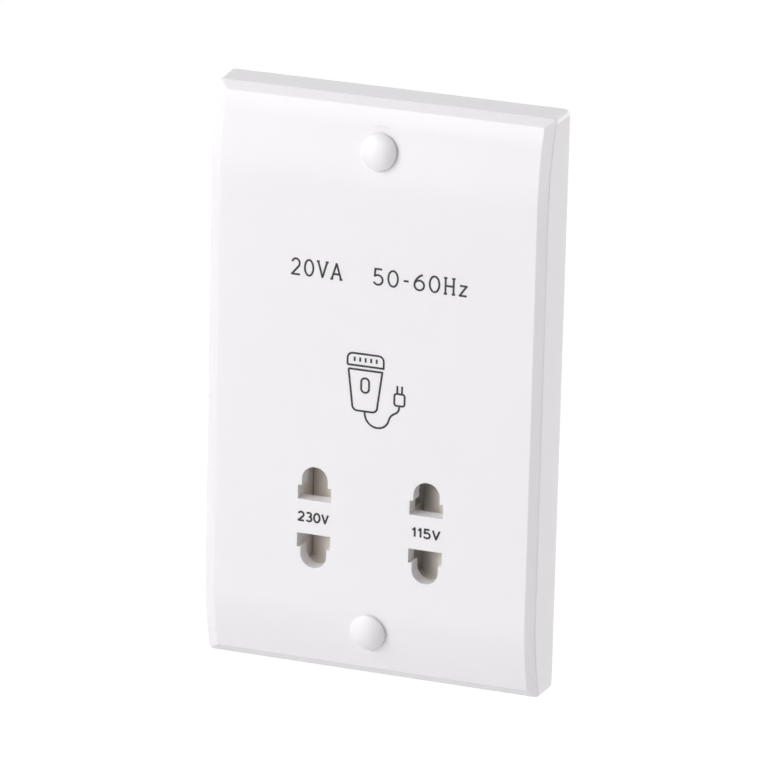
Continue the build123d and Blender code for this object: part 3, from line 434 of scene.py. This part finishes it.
def wound_wire(name, colour):
    """Enamelled wire: even turns, warm and glossy, with a painted highlight on each turn and painted shade
    between the turns.
    """
    finish = Finish(name, colour, roughness=0.28, Metallic=0.85)
    turns = finish.bands("Z", scale=520.0)
    # Colour lighter on each turn and darker between the turns: painted highlight and painted shade, in step
    # with the bump.
    finish.shade(turns, dark=0.55, light=1.15)
    finish.raise_by(turns, depth=0.12 * MM)
    return finish.material


def stacked_steel(name, colour):
    """Varnished laminations: thin sheets stacked from front to back."""
    finish = Finish(name, colour, roughness=0.42, Metallic=0.75)
    sheets = finish.bands("Y", scale=310.0, distortion=0.4)
    finish.shade(sheets, dark=0.6, light=1.25)
    finish.blur(finish.grain(500.0), spread=0.08)
    finish.raise_by(sheets, depth=0.05 * MM)
    return finish.material


def wrapped_tape(name, colour):
    """Smooth polyester tape with the edges of its turns just showing."""
    finish = Finish(name, colour, roughness=0.25, IOR=1.5)
    laps = finish.bands("Z", scale=90.0, distortion=1.5)
    finish.shade(laps, dark=0.86, light=1.06)
    finish.raise_by(laps, depth=0.04 * MM)
    return finish.material


def insulated(name, colour):
    """Soft insulation of a lead."""
    finish = Finish(name, colour, roughness=0.36, IOR=1.5)
    finish.shade(finish.grain(300.0), dark=0.85, light=1.12)
    finish.raise_by(finish.grain(1500.0), depth=0.01 * MM)
    return finish.material


def printed_ink(name, colour):
    """Pad-printed ink, slightly uneven."""
    finish = Finish(name, colour, roughness=0.42, IOR=1.5)
    finish.shade(finish.grain(1800.0, detail=4.0), dark=0.7, light=1.5)
    finish.blur(finish.grain(900.0), spread=0.05)
    finish.raise_by(finish.grain(2400.0, detail=2.0), depth=0.004 * MM)
    return finish.material


def paint(node, material):
    """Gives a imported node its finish."""
    slots = frame["nodes"][node].material_slots
    if not slots:
        frame["nodes"][node].data.materials.append(material)
    for slot in slots:
        slot.material = material


def finished(mesh, name, material):
    """A finished piece that rides on the fixed body."""
    piece = bpy.data.objects.new(name, mesh)
    bpy.context.scene.collection.objects.link(piece)
    piece.data.materials.clear()
    piece.data.materials.append(material)
    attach(piece, FIXED_BODY)
    return piece


class SHAVERSOCKET_OT_plastics(bpy.types.Operator):
    """Give the mouldings their finish"""

    bl_idname = "shaversocket.plastics"
    bl_label = "Finish the mouldings"

    def execute(self, context):
        settings = context.scene.shaver_plastics
        plate_colour = settings.plate_colour
        materials = {
            "plate_plastic": moulded_gloss("plate_plastic_finish", plate_colour, settings.plate_roughness),
            "cap_plastic": moulded_gloss("cap_plastic_finish", plate_colour, settings.cap_roughness),
            "carrier_plastic": moulded_matt("carrier_plastic_finish", settings.carrier_colour, 0.5),
            "shutter_plastic": moulded_matt("shutter_plastic_finish", settings.shutter_colour, 0.4),
            "cover_plastic": moulded_matt("cover_plastic_finish", settings.cover_colour, 0.46),
            "switch_plastic": moulded_matt("switch_plastic_finish", (0.012, 0.012, 0.014), 0.38),
            "plunger_plastic": moulded_matt("plunger_plastic_finish", (0.33, 0.02, 0.015), 0.35),
            "block_plastic": moulded_matt("block_plastic_finish", (0.55, 0.51, 0.43), 0.42),
            "bobbin_plastic": moulded_matt("bobbin_plastic_finish", (0.02, 0.02, 0.024), 0.45),
            "tape_yellow": wrapped_tape("tape_yellow_finish", (0.66, 0.40, 0.03)),
            "lead_brown": insulated("lead_brown_finish", (0.08, 0.026, 0.012)),
            "lead_blue": insulated("lead_blue_finish", (0.012, 0.05, 0.22)),
            "lead_black": insulated("lead_black_finish", (0.012, 0.012, 0.013)),
            "lead_red": insulated("lead_red_finish", (0.25, 0.014, 0.01)),
        }
        apply_finishes(materials)
        return {"FINISHED"}


class SHAVERSOCKET_OT_metals(bpy.types.Operator):
    """Give the metal pieces their finish"""

    bl_idname = "shaversocket.metals"
    bl_label = "Finish the metal pieces"

    def execute(self, context):
        materials = {
            "contact_brass": pressed_metal("contact_brass_finish", (0.74, 0.52, 0.22), 0.3, LEVEL_MARKS),
            "cage_brass": pressed_metal("cage_brass_finish", (0.72, 0.50, 0.22), 0.34, LEVEL_MARKS),
            "pin_metal": pressed_metal("pin_metal_finish", (0.62, 0.60, 0.56), 0.3, UPRIGHT_MARKS),
            "screw_steel": pressed_metal("screw_steel_finish", (0.60, 0.60, 0.57), 0.3, EVEN_MARKS),
            "spring_steel": pressed_metal("spring_steel_finish", (0.50, 0.50, 0.50), 0.28, EVEN_MARKS),
            "cutout_metal": pressed_metal("cutout_metal_finish", (0.66, 0.66, 0.64), 0.4, LEVEL_MARKS),
            "winding_copper": wound_wire("winding_copper_finish", (0.50, 0.16, 0.05)),
            "lamination_steel": stacked_steel("lamination_steel_finish", (0.075, 0.075, 0.082)),
        }
        apply_finishes(materials)
        return {"FINISHED"}


def apply_finishes(materials):
    """Gives each node the new finish of its own slot."""
    for node, slot in NODE_SLOTS.items():
        if slot in materials:
            paint(node, materials[slot])


def print_material(context):
    """The ink, made once for all marks."""
    name = "print_ink_finish"
    found = bpy.data.materials.get(name)
    return found or printed_ink(name, tuple(context.scene.shaver_marks.ink_colour))


def on_the_face(mesh, x, z, depth):
    """Turns a flat mark to the front and sets it on the face, a print's depth proud."""
    lift = Matrix.Translation((x, FACE_Y, z)) @ Matrix.Rotation(math.radians(90.0), 4, "X")
    thickness = max(abs(vertex.co.z) for vertex in mesh.vertices)
    flat = Matrix.Scale(depth / thickness, 4, (0.0, 0.0, 1.0))
    mesh.transform(lift @ flat)


def split_at_corners(points, closed, overlap):
    """Parts of a line between its sharp corners, each run on a little so that the corner is full."""
    run = [Vector((x, y, 0.0)) for x, y in (points + points[:1] if closed else points)]
    parts = [[run[0]]]
    for before, corner, after in zip(run, run[1:], run[2:]):
        way = corner - before
        bend = way.angle(after - corner, 0.0)
        if bend > SHARPEST_BEND:
            parts[-1].append(corner + way.normalized() * overlap * math.sin(bend))
            parts.append([corner])
        else:
            parts[-1].append(corner)
    parts[-1].append(run[-1])
    return [(run[:-1], True)] if closed and len(parts) == 1 else [(part, False) for part in parts]


def drawn_lines(strokes, width):
    """Lines of an even width along lists of flat points, as a mesh."""
    return round_bars(
        [part for points, closed in strokes for part in split_at_corners(points, closed, width / 2)], width,
    )


def round_bars(parts, thickness):
    """Bars of one thickness along runs of points, as a mesh."""
    curve = bpy.data.curves.new("round_bars", "CURVE")
    curve.dimensions = "3D"
    curve.bevel_depth = thickness / 2
    curve.bevel_resolution = 2
    curve.use_fill_caps = True
    for points, closed in parts:
        spline = curve.splines.new("POLY")
        spline.points.add(len(points) - 1)
        for point, place in zip(spline.points, points):
            point.co = (*place, 1.0)
        spline.use_cyclic_u = closed
    holder = bpy.data.objects.new("round_bars", curve)
    bpy.context.scene.collection.objects.link(holder)
    bpy.context.view_layer.update()
    mesh = bpy.data.meshes.new_from_object(holder.evaluated_get(bpy.context.evaluated_depsgraph_get()))
    bpy.data.objects.remove(holder)
    bpy.data.curves.remove(curve)
    return mesh


def arc(centre, radii, start, end, steps=ARC_STEPS):
    """Points round part of an ellipse, angles in degrees."""
    angles = [math.radians(start + (end - start) * i / steps) for i in range(steps + 1)]
    return [(centre[0] + radii[0] * math.cos(a), centre[1] + radii[1] * math.sin(a)) for a in angles]


def rounded_box(low, high, radius):
    """Outline of a rectangle with round corners."""
    (x0, y0), (x1, y1) = low, high
    corners = ((x1 - radius, y1 - radius, 0), (x0 + radius, y1 - radius, 90),
               (x0 + radius, y0 + radius, 180), (x1 - radius, y0 + radius, 270))
    return [
        point for x, y, start in corners
        for point in arc((x, y), (radius, radius), start, start + 90, CORNER_STEPS)
    ]


def swept(*corners, steps=ARC_STEPS):
    """Points along one smooth curve with four control points."""
    run = interpolate_bezier(*[Vector((x, y, 0.0)) for x, y in corners], steps)
    return [(point.x, point.y) for point in run]


def feet(*places):
    """Short flat serifs centred on these points."""
    return [([(x - SERIF_REACH, y), (x + SERIF_REACH, y)], False) for x, y in places]


def characters():
    """Strokes of each character in a height of 1, as (width, plain strokes, serifs)."""
    return {
        "0": (0.62, [(arc((0.31, 0.5), (0.31, 0.5), 90, 450, steps=28)[:-1], True)], []),
        "1": (0.30, [([(0.02, 0.76), (0.24, 1.0), (0.24, 0.0)], False)], []),
        "2": (0.60, [(arc((0.29, 0.71), (0.28, 0.29), 165, -38) + [(0.0, 0.0), (0.6, 0.0)], False)], []),
        "3": (0.58, [(arc((0.27, 0.755), (0.25, 0.245), 150, -90)
                      + arc((0.28, 0.265), (0.30, 0.265), 90, -150)[1:], False)], []),
        "5": (0.58, [([(0.53, 1.0), (0.09, 1.0), (0.06, 0.53)]
                      + arc((0.27, 0.31), (0.31, 0.31), 128, -152), False)], []),
        "6": (0.62, [(arc((0.31, 0.31), (0.31, 0.31), 180, 540, steps=24)[:-1], True),
                     (swept((0.52, 0.99), (0.24, 0.88), (0.0, 0.62), (0.0, 0.31)), False)], []),
        "V": (0.66, [([(0.0, 1.0), (0.33, 0.0), (0.66, 1.0)], False)], feet((0.0, 1.0), (0.66, 1.0))),
        "A": (0.68, [([(0.0, 0.0), (0.34, 1.0), (0.68, 0.0)], False),
                     ([(0.11, 0.32), (0.57, 0.32)], False)],
              feet((0.0, 0.0), (0.68, 0.0))),
        "H": (0.60, [([(0.04, 0.0), (0.04, 1.0)], False), ([(0.56, 0.0), (0.56, 1.0)], False),
                     ([(0.04, 0.5), (0.56, 0.5)], False)],
              feet((0.04, 0.0), (0.04, 1.0), (0.56, 0.0), (0.56, 1.0))),
        "z": (0.46, [([(0.0, 0.62), (0.44, 0.62), (0.0, 0.0), (0.46, 0.0)], False)], []),
        "-": (0.36, [([(0.02, 0.46), (0.34, 0.46)], False)], []),
    }


def drawn_text(text, height, width, line, spacing, serifs):
    """Characters drawn in even lines, centred on the origin within a height and a width."""
    shapes = characters()
    strokes = []
    reach = 0.0
    for character in text:
        step, plain, ends = shapes[character]
        for points, closed in plain + (ends if serifs else []):
            strokes.append(([(x + reach, y) for x, y in points], closed))
        reach += step + spacing
    xs = [x for points, closed in strokes for x, y in points]
    low, high = min(xs), max(xs)
    across = (width - line) / (high - low)
    along = height - line
    placed = [([((x - (low + high) / 2) * across, (y - 0.5) * along) for x, y in points], closed)
              for points, closed in strokes]
    return drawn_lines(placed, line)


class SHAVERSOCKET_OT_voltages(bpy.types.Operator):
    """Print the voltage of each outlet on its bridge"""

    bl_idname = "shaversocket.voltages"
    bl_label = "Print the voltages"

    def execute(self, context):
        marks = context.scene.shaver_marks
        for name, text, x, width in VOLTAGES:
            mesh = drawn_text(
                text, marks.numeral_height, width, marks.line_width, VOLTAGE_SPACING, serifs=False,
            )
            on_the_face(mesh, x, VOLTAGE_Z, marks.print_depth)
            finished(mesh, name, print_material(context))
        return {"FINISHED"}


class SHAVERSOCKET_OT_rating(bpy.types.Operator):
    """Print a plain rating above the middle"""

    bl_idname = "shaversocket.rating"
    bl_label = "Print the rating"

    def execute(self, context):
        marks = context.scene.shaver_marks
        for name, text, x, width in RATINGS:
            mesh = drawn_text(
                text, marks.rating_height, width, marks.line_width, RATING_SPACING, serifs=True,
            )
            on_the_face(mesh, x, RATING_Z, marks.print_depth)
            finished(mesh, name, print_material(context))
        return {"FINISHED"}


def shaver_drawing():
    """Lines of an upright shaver with a slotted head, a switch, a cord and its plug, in millimetres."""
    corner = (1.3, 1.3)
    body = [
        (-6.3, 6.0), (-5.2, -2.8), *arc((-3.9, -3.0), corner, 180, 270, CORNER_STEPS),
        *arc((-0.1, -3.0), corner, 270, 360, CORNER_STEPS), (1.2, -2.8), (2.3, 6.0),
    ]
    head = [
        (-6.6, 7.0), *arc((-5.3, 8.7), corner, 180, 90, CORNER_STEPS),
        *arc((1.3, 8.7), corner, 90, 0, CORNER_STEPS), (2.6, 7.0),
    ]
    slots = [([(x, 8.0), (x, 9.1)], False) for x in (-4.8, -3.4, -2.0, -0.6, 0.8)]
    switch = rounded_box((-3.0, 0.4), (-1.0, 4.0), 0.95)
    cord = swept((-2.0, -4.3), (-2.0, -8.8), (3.4, -9.2), (4.2, -5.8))
    cord += swept((4.2, -5.8), (4.8, -3.2), (6.8, -4.6), (6.8, -1.8))[1:]
    plug = rounded_box((5.5, -1.8), (8.1, 1.2), 0.6)
    pins = [([(x, 1.2), (x, 3.2)], False) for x in (6.2, 7.4)]
    return [(body, True), (head, True), (switch, True), (cord, False), (plug, True), *slots, *pins]


class SHAVERSOCKET_OT_shaver_mark(bpy.types.Operator):
    """Print a plain outline of a shaver in the middle"""

    bl_idname = "shaversocket.shaver_mark"
    bl_label = "Print the shaver outline"

    def execute(self, context):
        marks = context.scene.shaver_marks
        strokes = [([(x * MM, y * MM) for x, y in points], closed) for points, closed in shaver_drawing()]
        mesh = drawn_lines(strokes, marks.line_width)
        on_the_face(mesh, 0.0, 0.0, marks.print_depth)
        finished(mesh, "shaver_outline", print_material(context))
        return {"FINISHED"}


def turned(profile, steps):
    """Turns a profile of (radius, depth) points round the Y axis."""
    form = bmesh.new()
    rim = [form.verts.new((radius, depth, 0.0)) for radius, depth in profile]
    edges = [form.edges.new(pair) for pair in zip(rim, rim[1:])]
    bmesh.ops.spin(
        form, geom=rim + edges, cent=(0, 0, 0), axis=(0, 1, 0), angle=2 * math.pi, steps=steps,
        use_merge=True, use_duplicate=False,
    )
    bmesh.ops.remove_doubles(form, verts=form.verts, dist=MERGE_DISTANCE)
    bmesh.ops.recalc_face_normals(form, faces=form.faces)
    return form


def thread_ridge(form, radius, depth, pitch, start, end):
    """Winds a ridge with sloping sides and a narrow crest round the shank."""
    turns = (end - start) / pitch - 1.0
    core = radius - depth
    crest_start, crest_end, foot_end = 0.35 * pitch, 0.45 * pitch, 0.8 * pitch
    section = ((core, 0.0), (radius, crest_start), (radius, crest_end), (core, foot_end))
    corners = [form.verts.new((reach, start + along, 0.0)) for reach, along in section]
    face = form.faces.new(corners)
    bmesh.ops.spin(
        form, geom=[face, *face.edges, *corners], cent=(0, 0, 0), axis=(0, 1, 0),
        angle=2 * math.pi * turns, dvec=(0.0, pitch / THREAD_STEPS, 0.0), steps=int(THREAD_STEPS * turns),
        use_merge=False, use_duplicate=False,
    )
    bmesh.ops.recalc_face_normals(form, faces=form.faces)


def domed_cap(settings):
    """Dome with a rounded rim and its top towards -Y, its edge run on a little behind its seat."""
    half = settings.diameter / 2
    rise = settings.height - settings.edge
    radius = (half ** 2 + rise ** 2) / (2 * rise)
    reach = math.asin(half / radius)
    angles = [reach * step / DOME_STEPS for step in range(DOME_STEPS + 1)]
    dome = [(radius * math.sin(a), radius * (1 - math.cos(a)) - settings.height) for a in angles]
    below = (half, dome[-1][1] + settings.rim_round)
    rim = swept(dome[-2], dome[-1], dome[-1], below, steps=RIM_STEPS)
    return turned((*dome[:-2], *rim, (half, settings.skirt), (0.0, settings.skirt)), CAP_STEPS)


def on_its_seat(form, node, end):
    """Leans a form to the curved face over a fixing screw, and returns the centre of that curve."""
    screw_low, screw_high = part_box(node)
    screw_z = abs(screw_low.z + screw_high.z) / 2
    lean = math.asin((screw_z - STRAIGHT_HALF) / END_RADIUS)
    centre = Vector((0.0, FACE_Y + END_RADIUS, end * STRAIGHT_HALF))
    seat = centre + END_RADIUS * Vector((0.0, -math.cos(lean), end * math.sin(lean)))
    turn = Matrix.Rotation(-end * lean, 4, "X")
    bmesh.ops.transform(form, matrix=Matrix.Translation(seat) @ turn, verts=form.verts)
    return centre


def as_mesh(form, name):
    """Turns a working form into a mesh and frees it."""
    mesh = bpy.data.meshes.new(name)
    form.to_mesh(mesh)
    form.free()
    return mesh


def face_drum(centre):
    """Drum whose side is the curved end of the plate's face."""
    form = bmesh.new()
    bmesh.ops.create_cone(
        form, cap_ends=True, segments=DRUM_STEPS, radius1=END_RADIUS, radius2=END_RADIUS, depth=40.0 * MM,
        matrix=Matrix.Translation(centre) @ Matrix.Rotation(math.radians(90.0), 4, "Y"),
    )
    return as_mesh(form, "face_drum")


def cap_plug(settings, node):
    """Plug that holds a cap in the screw's pocket, from the middle of the dome's seat to the back."""
    low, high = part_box(node)
    radius = settings.plug_diameter / 2
    front = low.y + settings.height
    form = turned(((0.0, front), (radius, front), (radius, high.y), (0.0, high.y)), PLUG_STEPS)
    screw_low, screw_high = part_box(node.replace("screw_cap", "fixing_screw"))
    bmesh.ops.translate(form, verts=form.verts, vec=(0.0, 0.0, (screw_low.z + screw_high.z) / 2))
    return as_mesh(form, "cap_plug")


def cross_recess(depth, span, width):
    """Cross that is cut into a screw's head, its arms narrower at the bottom."""
    form = bmesh.new()
    narrowed = 0.45
    for turn in (0.0, math.pi / 2):
        made = bmesh.ops.create_cube(form, size=1.0)
        for vertex in made["verts"]:
            taper = 1.0 if vertex.co.y < 0 else narrowed
            vertex.co = (vertex.co.x * span * taper, vertex.co.y * 2 * depth, vertex.co.z * width * taper)
        bmesh.ops.rotate(form, verts=made["verts"], cent=(0, 0, 0), matrix=Matrix.Rotation(turn, 3, "Y"))
    return as_mesh(form, "cross_recess")


def combined(mesh, other, operation):
    """The mesh with another taken away from it or joined to it."""
    piece = bpy.data.objects.new("piece", mesh)
    tool = bpy.data.objects.new("tool", other)
    for thing in (piece, tool):
        bpy.context.scene.collection.objects.link(thing)
    change = piece.modifiers.new("change", "BOOLEAN")
    change.object = tool
    change.operation = operation
    change.solver = "EXACT"
    change.use_self = True
    bpy.context.view_layer.update()
    result = bpy.data.meshes.new_from_object(piece.evaluated_get(bpy.context.evaluated_depsgraph_get()))
    bpy.data.objects.remove(piece)
    bpy.data.objects.remove(tool)
    return result


def smooth(mesh, degrees):
    """Smooth shading that stays crisp where faces meet at more than this angle."""
    for face in mesh.polygons:
        face.use_smooth = True
    mesh.set_sharp_from_angle(angle=math.radians(degrees))


class SHAVERSOCKET_OT_caps(bpy.types.Operator):
    """Make the domed caps, trimmed to the curved face that they sit on"""

    bl_idname = "shaversocket.caps"
    bl_label = "Make the caps"

    def execute(self, context):
        settings = context.scene.shaver_caps
        material = bpy.data.materials["cap_plastic_finish"]
        for place, end in (("top", 1), ("bottom", -1)):
            node = f"screw_cap_{place}"
            form = domed_cap(settings)
            centre = on_its_seat(form, f"fixing_screw_{place}", end)
            trimmed = combined(as_mesh(form, node), face_drum(centre), "DIFFERENCE")
            mesh = combined(trimmed, cap_plug(settings, node), "UNION")
            smooth(mesh, degrees=32.0)
            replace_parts(finished(mesh, f"{node}_domed", material), node)
        return {"FINISHED"}


def screw_blank(settings, head_radius, length):
    """A screw from its head at the origin to its point on +Y, with no thread and no recess."""
    seat = settings.head_height
    neck_end = seat + settings.neck_length
    core = settings.thread_radius - settings.thread_depth
    point = settings.point_length
    head = (
        (0.0, 0.0), (head_radius - 1.5 * MM, 0.0), (head_radius - 0.8 * MM, 0.16 * MM),
        (head_radius - 0.25 * MM, 0.65 * MM), (head_radius, 1.3 * MM), (head_radius, seat),
    )
    shank = (
        (settings.neck_radius, seat), (settings.neck_radius, neck_end), (core, neck_end + 0.2 * MM),
        (core, length - point), (core - point, length), (0.0, length),
    )
    return turned(head + shank, SCREW_STEPS)


def threaded(mesh, settings, length):
    """The recessed blank with its thread wound on."""
    form = bmesh.new()
    form.from_mesh(mesh)
    bmesh.ops.dissolve_degenerate(form, edges=form.edges, dist=MERGE_DISTANCE)
    thread_ridge(
        form, settings.thread_radius, settings.thread_depth, settings.thread_pitch,
        settings.head_height + settings.neck_length, length - settings.point_length,
    )
    return as_mesh(form, "fixing_screw")


class SHAVERSOCKET_OT_fixing_screws(bpy.types.Operator):
    """Make the fixing screws with their threads and cross recesses"""

    bl_idname = "shaversocket.fixing_screws"
    bl_label = "Make the fixing screws"

    def execute(self, context):
        settings = context.scene.shaver_screws
        material = bpy.data.materials["screw_steel_finish"]
        for node in ("fixing_screw_top", "fixing_screw_bottom"):
            low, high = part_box(node)
            length = high.y - low.y
            blank = as_mesh(screw_blank(settings, (high.x - low.x) / 2, length), node)
            cross = cross_recess(settings.recess_depth, settings.recess_span, settings.recess_width)
            recessed = threaded(combined(blank, cross, "DIFFERENCE"), settings, length)
            recessed.transform(Matrix.Translation((0.0, low.y, (low.z + high.z) / 2)))
            smooth(recessed, degrees=35.0)
            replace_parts(finished(recessed, f"{node}_threaded", material), node)
        return {"FINISHED"}


def coil(low, high, wire, turns):
    """Points along the middle of a coil spring's wire, the spring lying along X and filling a box."""
    radius = (high.z - low.z - wire) / 2
    middle = (low + high) / 2
    reach = high.x - low.x - wire
    steps = turns * COIL_STEPS
    points = []
    for step in range(steps + 1):
        angle = 2 * math.pi * step / COIL_STEPS
        points.append((
            low.x + wire / 2 + reach * step / steps, middle.y + radius * math.cos(angle),
            middle.z + radius * math.sin(angle),
        ))
    return points


class SHAVERSOCKET_OT_spring(bpy.types.Operator):
    """Wind the shutter's spring from round wire"""

    bl_idname = "shaversocket.spring"
    bl_label = "Wind the spring"

    def execute(self, context):
        settings = context.scene.shaver_spring
        low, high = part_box("shutter_spring")
        mesh = round_bars([(coil(low, high, settings.wire, settings.turns), False)], settings.wire)
        smooth(mesh, degrees=50.0)
        material = bpy.data.materials["spring_steel_finish"]
        spring = finished(mesh, "shutter_spring_coil", material)
        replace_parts(spring, "shutter_spring")
        slide = next(joint for joint in frame["joints"] if joint["name"] == "shutter_slide")
        travel = max(slide["range_m"])
        1 - travel / (high.x - low.x)
        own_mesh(spring)
        return {"FINISHED"}


def away_from_face(azimuth, elevation):
    """The direction from the face to a place that is this far to its right and this far up."""
    level = math.cos(elevation)
    return Vector((math.sin(azimuth) * level, -math.cos(azimuth) * level, math.sin(elevation)))


def camera_axes(azimuth, elevation, roll):
    """The camera's right, up and back directions."""
    back = away_from_face(azimuth, elevation)
    level = Vector((0.0, 0.0, 1.0)).cross(back).normalized()
    upright = back.cross(level)
    right = math.cos(roll) * level + math.sin(roll) * upright
    up = math.cos(roll) * upright - math.sin(roll) * level
    return right, up, back


def area_lamp(name, azimuth, elevation, size, watts):
    """A square soft lamp that faces the plate, placed by its direction in degrees."""
    data = bpy.data.lights.new(name, "AREA")
    data.shape = "SQUARE"
    data.size = size
    data.energy = watts
    lamp = bpy.data.objects.new(name, data)
    away = away_from_face(math.radians(azimuth), math.radians(elevation))
    lamp.location = away * LAMP_DISTANCE
    lamp.rotation_euler = away.to_track_quat("Z", "Y").to_euler()
    bpy.context.scene.collection.objects.link(lamp)


def white_surround(level):
    """Even light all round, pure white to the camera and in reflections."""
    world = bpy.data.worlds.new("white_surround")
    bpy.context.scene.world = world
    world.use_nodes = True
    surround = Nodes(world.node_tree)
    background = surround.tree.nodes["Background"]
    background.inputs["Color"].default_value = (1.0, 1.0, 1.0, 1.0)
    path = surround.node("ShaderNodeLightPath", {}, {}).outputs
    mirrored = Wire(surround, path["Is Glossy Ray"]) + Wire(surround, path["Is Transmission Ray"])
    seen = Wire(surround, path["Is Camera Ray"]) + mirrored
    strength = surround.node("ShaderNodeMapRange", {}, {"Value": seen, "To Min": level, "To Max": 1.0})
    surround.tree.links.new(strength.outputs[0], background.inputs["Strength"])


def pale_floor(colour, height):
    """A wide pale floor that shows nearly white to the camera and keeps the shadow."""
    form = bmesh.new()
    bmesh.ops.create_grid(form, x_segments=1, y_segments=1, size=FLOOR_REACH)
    bmesh.ops.translate(form, verts=form.verts, vec=(0.0, 0.0, height))
    mesh = as_mesh(form, "floor")
    floor = bpy.data.objects.new("floor", mesh)
    bpy.context.scene.collection.objects.link(floor)
    finish = Finish("floor_finish", tuple(colour), roughness=0.9)
    finish.shade(finish.grain(3.0), dark=0.99, light=1.01)
    path = finish.node("ShaderNodeLightPath", {}, {})
    white = (1.0, 1.0, 1.0, 1.0)
    glow = finish.node("ShaderNodeEmission", {}, {"Color": white, "Strength": FLOOR_GLOW})
    share = Wire(finish, path.outputs["Is Camera Ray"]) * FLOOR_GLOW_SHARE
    both = finish.node(
        "ShaderNodeMixShader", {}, {0: share, 1: finish.surface.outputs[0], 2: glow.outputs[0]},
    )
    finish.tree.links.new(both.outputs[0], finish.tree.nodes["Material Output"].inputs["Surface"])
    mesh.materials.append(finish.material)


def framed_camera(stage):
    """The camera at the photograph's viewing angle, moved sideways to frame the object as it does."""
    data = bpy.data.cameras.new("camera")
    data.sensor_width = SENSOR_WIDTH
    data.lens = stage.focal_length
    data.clip_start = CLIP_START
    data.clip_end = CLIP_END
    camera = bpy.data.objects.new("camera", data)
    right, up, back = camera_axes(stage.azimuth, stage.elevation, stage.roll)
    turn = Matrix((right, up, back)).transposed()
    place = stage.distance * back - stage.shift_right * right - stage.shift_up * up
    camera.matrix_world = Matrix.Translation(place) @ turn.to_4x4()
    bpy.context.scene.collection.objects.link(camera)
    return camera


class SHAVERSOCKET_OT_stage(bpy.types.Operator):
    """Set the floor, the lamps and the camera"""

    bl_idname = "shaversocket.stage"
    bl_label = "Set the stage"

    def execute(self, context):
        stage = context.scene.shaver_stage
        context.scene.view_settings.view_transform = "Standard"
        white_surround(stage.world_level)
        pale_floor(stage.floor_colour, PLATE_LOW.z - stage.floor_drop)
        area_lamp("key_lamp", azimuth=-50.0, elevation=30.0, size=0.8, watts=stage.key_watts)
        area_lamp("front_lamp", azimuth=-10.0, elevation=30.0, size=0.8, watts=stage.front_watts)
        area_lamp("fill_lamp", azimuth=-25.0, elevation=-10.0, size=1.4, watts=stage.fill_watts)
        area_lamp("side_lamp", azimuth=132.0, elevation=12.0, size=0.8, watts=stage.side_watts)
        context.scene.camera = framed_camera(stage)
        return {"FINISHED"}


class SHAVERSOCKET_PT_panel(bpy.types.Panel):
    """Sizes, colours and steps of the shaver socket"""

    bl_label = "Shaver socket"
    bl_idname = "SHAVERSOCKET_PT_panel"
    bl_space_type = "VIEW_3D"
    bl_region_type = "UI"
    bl_category = "Shaver socket"

    def draw(self, context):
        layout = self.layout
        for group in SETTINGS:
            settings = getattr(context.scene, group)
            box = layout.box()
            for name in type(settings).__annotations__:
                box.prop(settings, name)
        for operator in OPERATORS:
            layout.operator(operator.bl_idname)


SETTINGS = {
    "shaver_plastics": PlasticFinish,
    "shaver_marks": MarkSettings,
    "shaver_caps": CapSettings,
    "shaver_screws": ScrewSettings,
    "shaver_spring": SpringSettings,
    "shaver_stage": StageSettings,
}
OPERATORS = (
    SHAVERSOCKET_OT_plastics,
    SHAVERSOCKET_OT_metals,
    SHAVERSOCKET_OT_voltages,
    SHAVERSOCKET_OT_rating,
    SHAVERSOCKET_OT_shaver_mark,
    SHAVERSOCKET_OT_caps,
    SHAVERSOCKET_OT_fixing_screws,
    SHAVERSOCKET_OT_spring,
    SHAVERSOCKET_OT_stage,
)


def register():
    """Registers the settings, the operators and the panel."""
    for group in SETTINGS.values():
        bpy.utils.register_class(group)
    for name, group in SETTINGS.items():
        setattr(bpy.types.Scene, name, PointerProperty(type=group))
    for operator in (*OPERATORS, SHAVERSOCKET_PT_panel):
        bpy.utils.register_class(operator)


def unregister():
    """Takes the panel, the operators and the settings out again."""
    for operator in reversed((*OPERATORS, SHAVERSOCKET_PT_panel)):
        bpy.utils.unregister_class(operator)
    for name in SETTINGS:
        delattr(bpy.types.Scene, name)
    for group in SETTINGS.values():
        bpy.utils.unregister_class(group)


def main():
    """Registers the add-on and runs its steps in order."""
    register()
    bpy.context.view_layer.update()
    bpy.ops.shaversocket.plastics()
    bpy.ops.shaversocket.metals()
    bpy.ops.shaversocket.voltages()
    bpy.ops.shaversocket.rating()
    bpy.ops.shaversocket.shaver_mark()
    bpy.ops.shaversocket.caps()
    bpy.ops.shaversocket.fixing_screws()
    bpy.ops.shaversocket.spring()
    bpy.ops.shaversocket.stage()


if __name__ == "__main__":
    main()
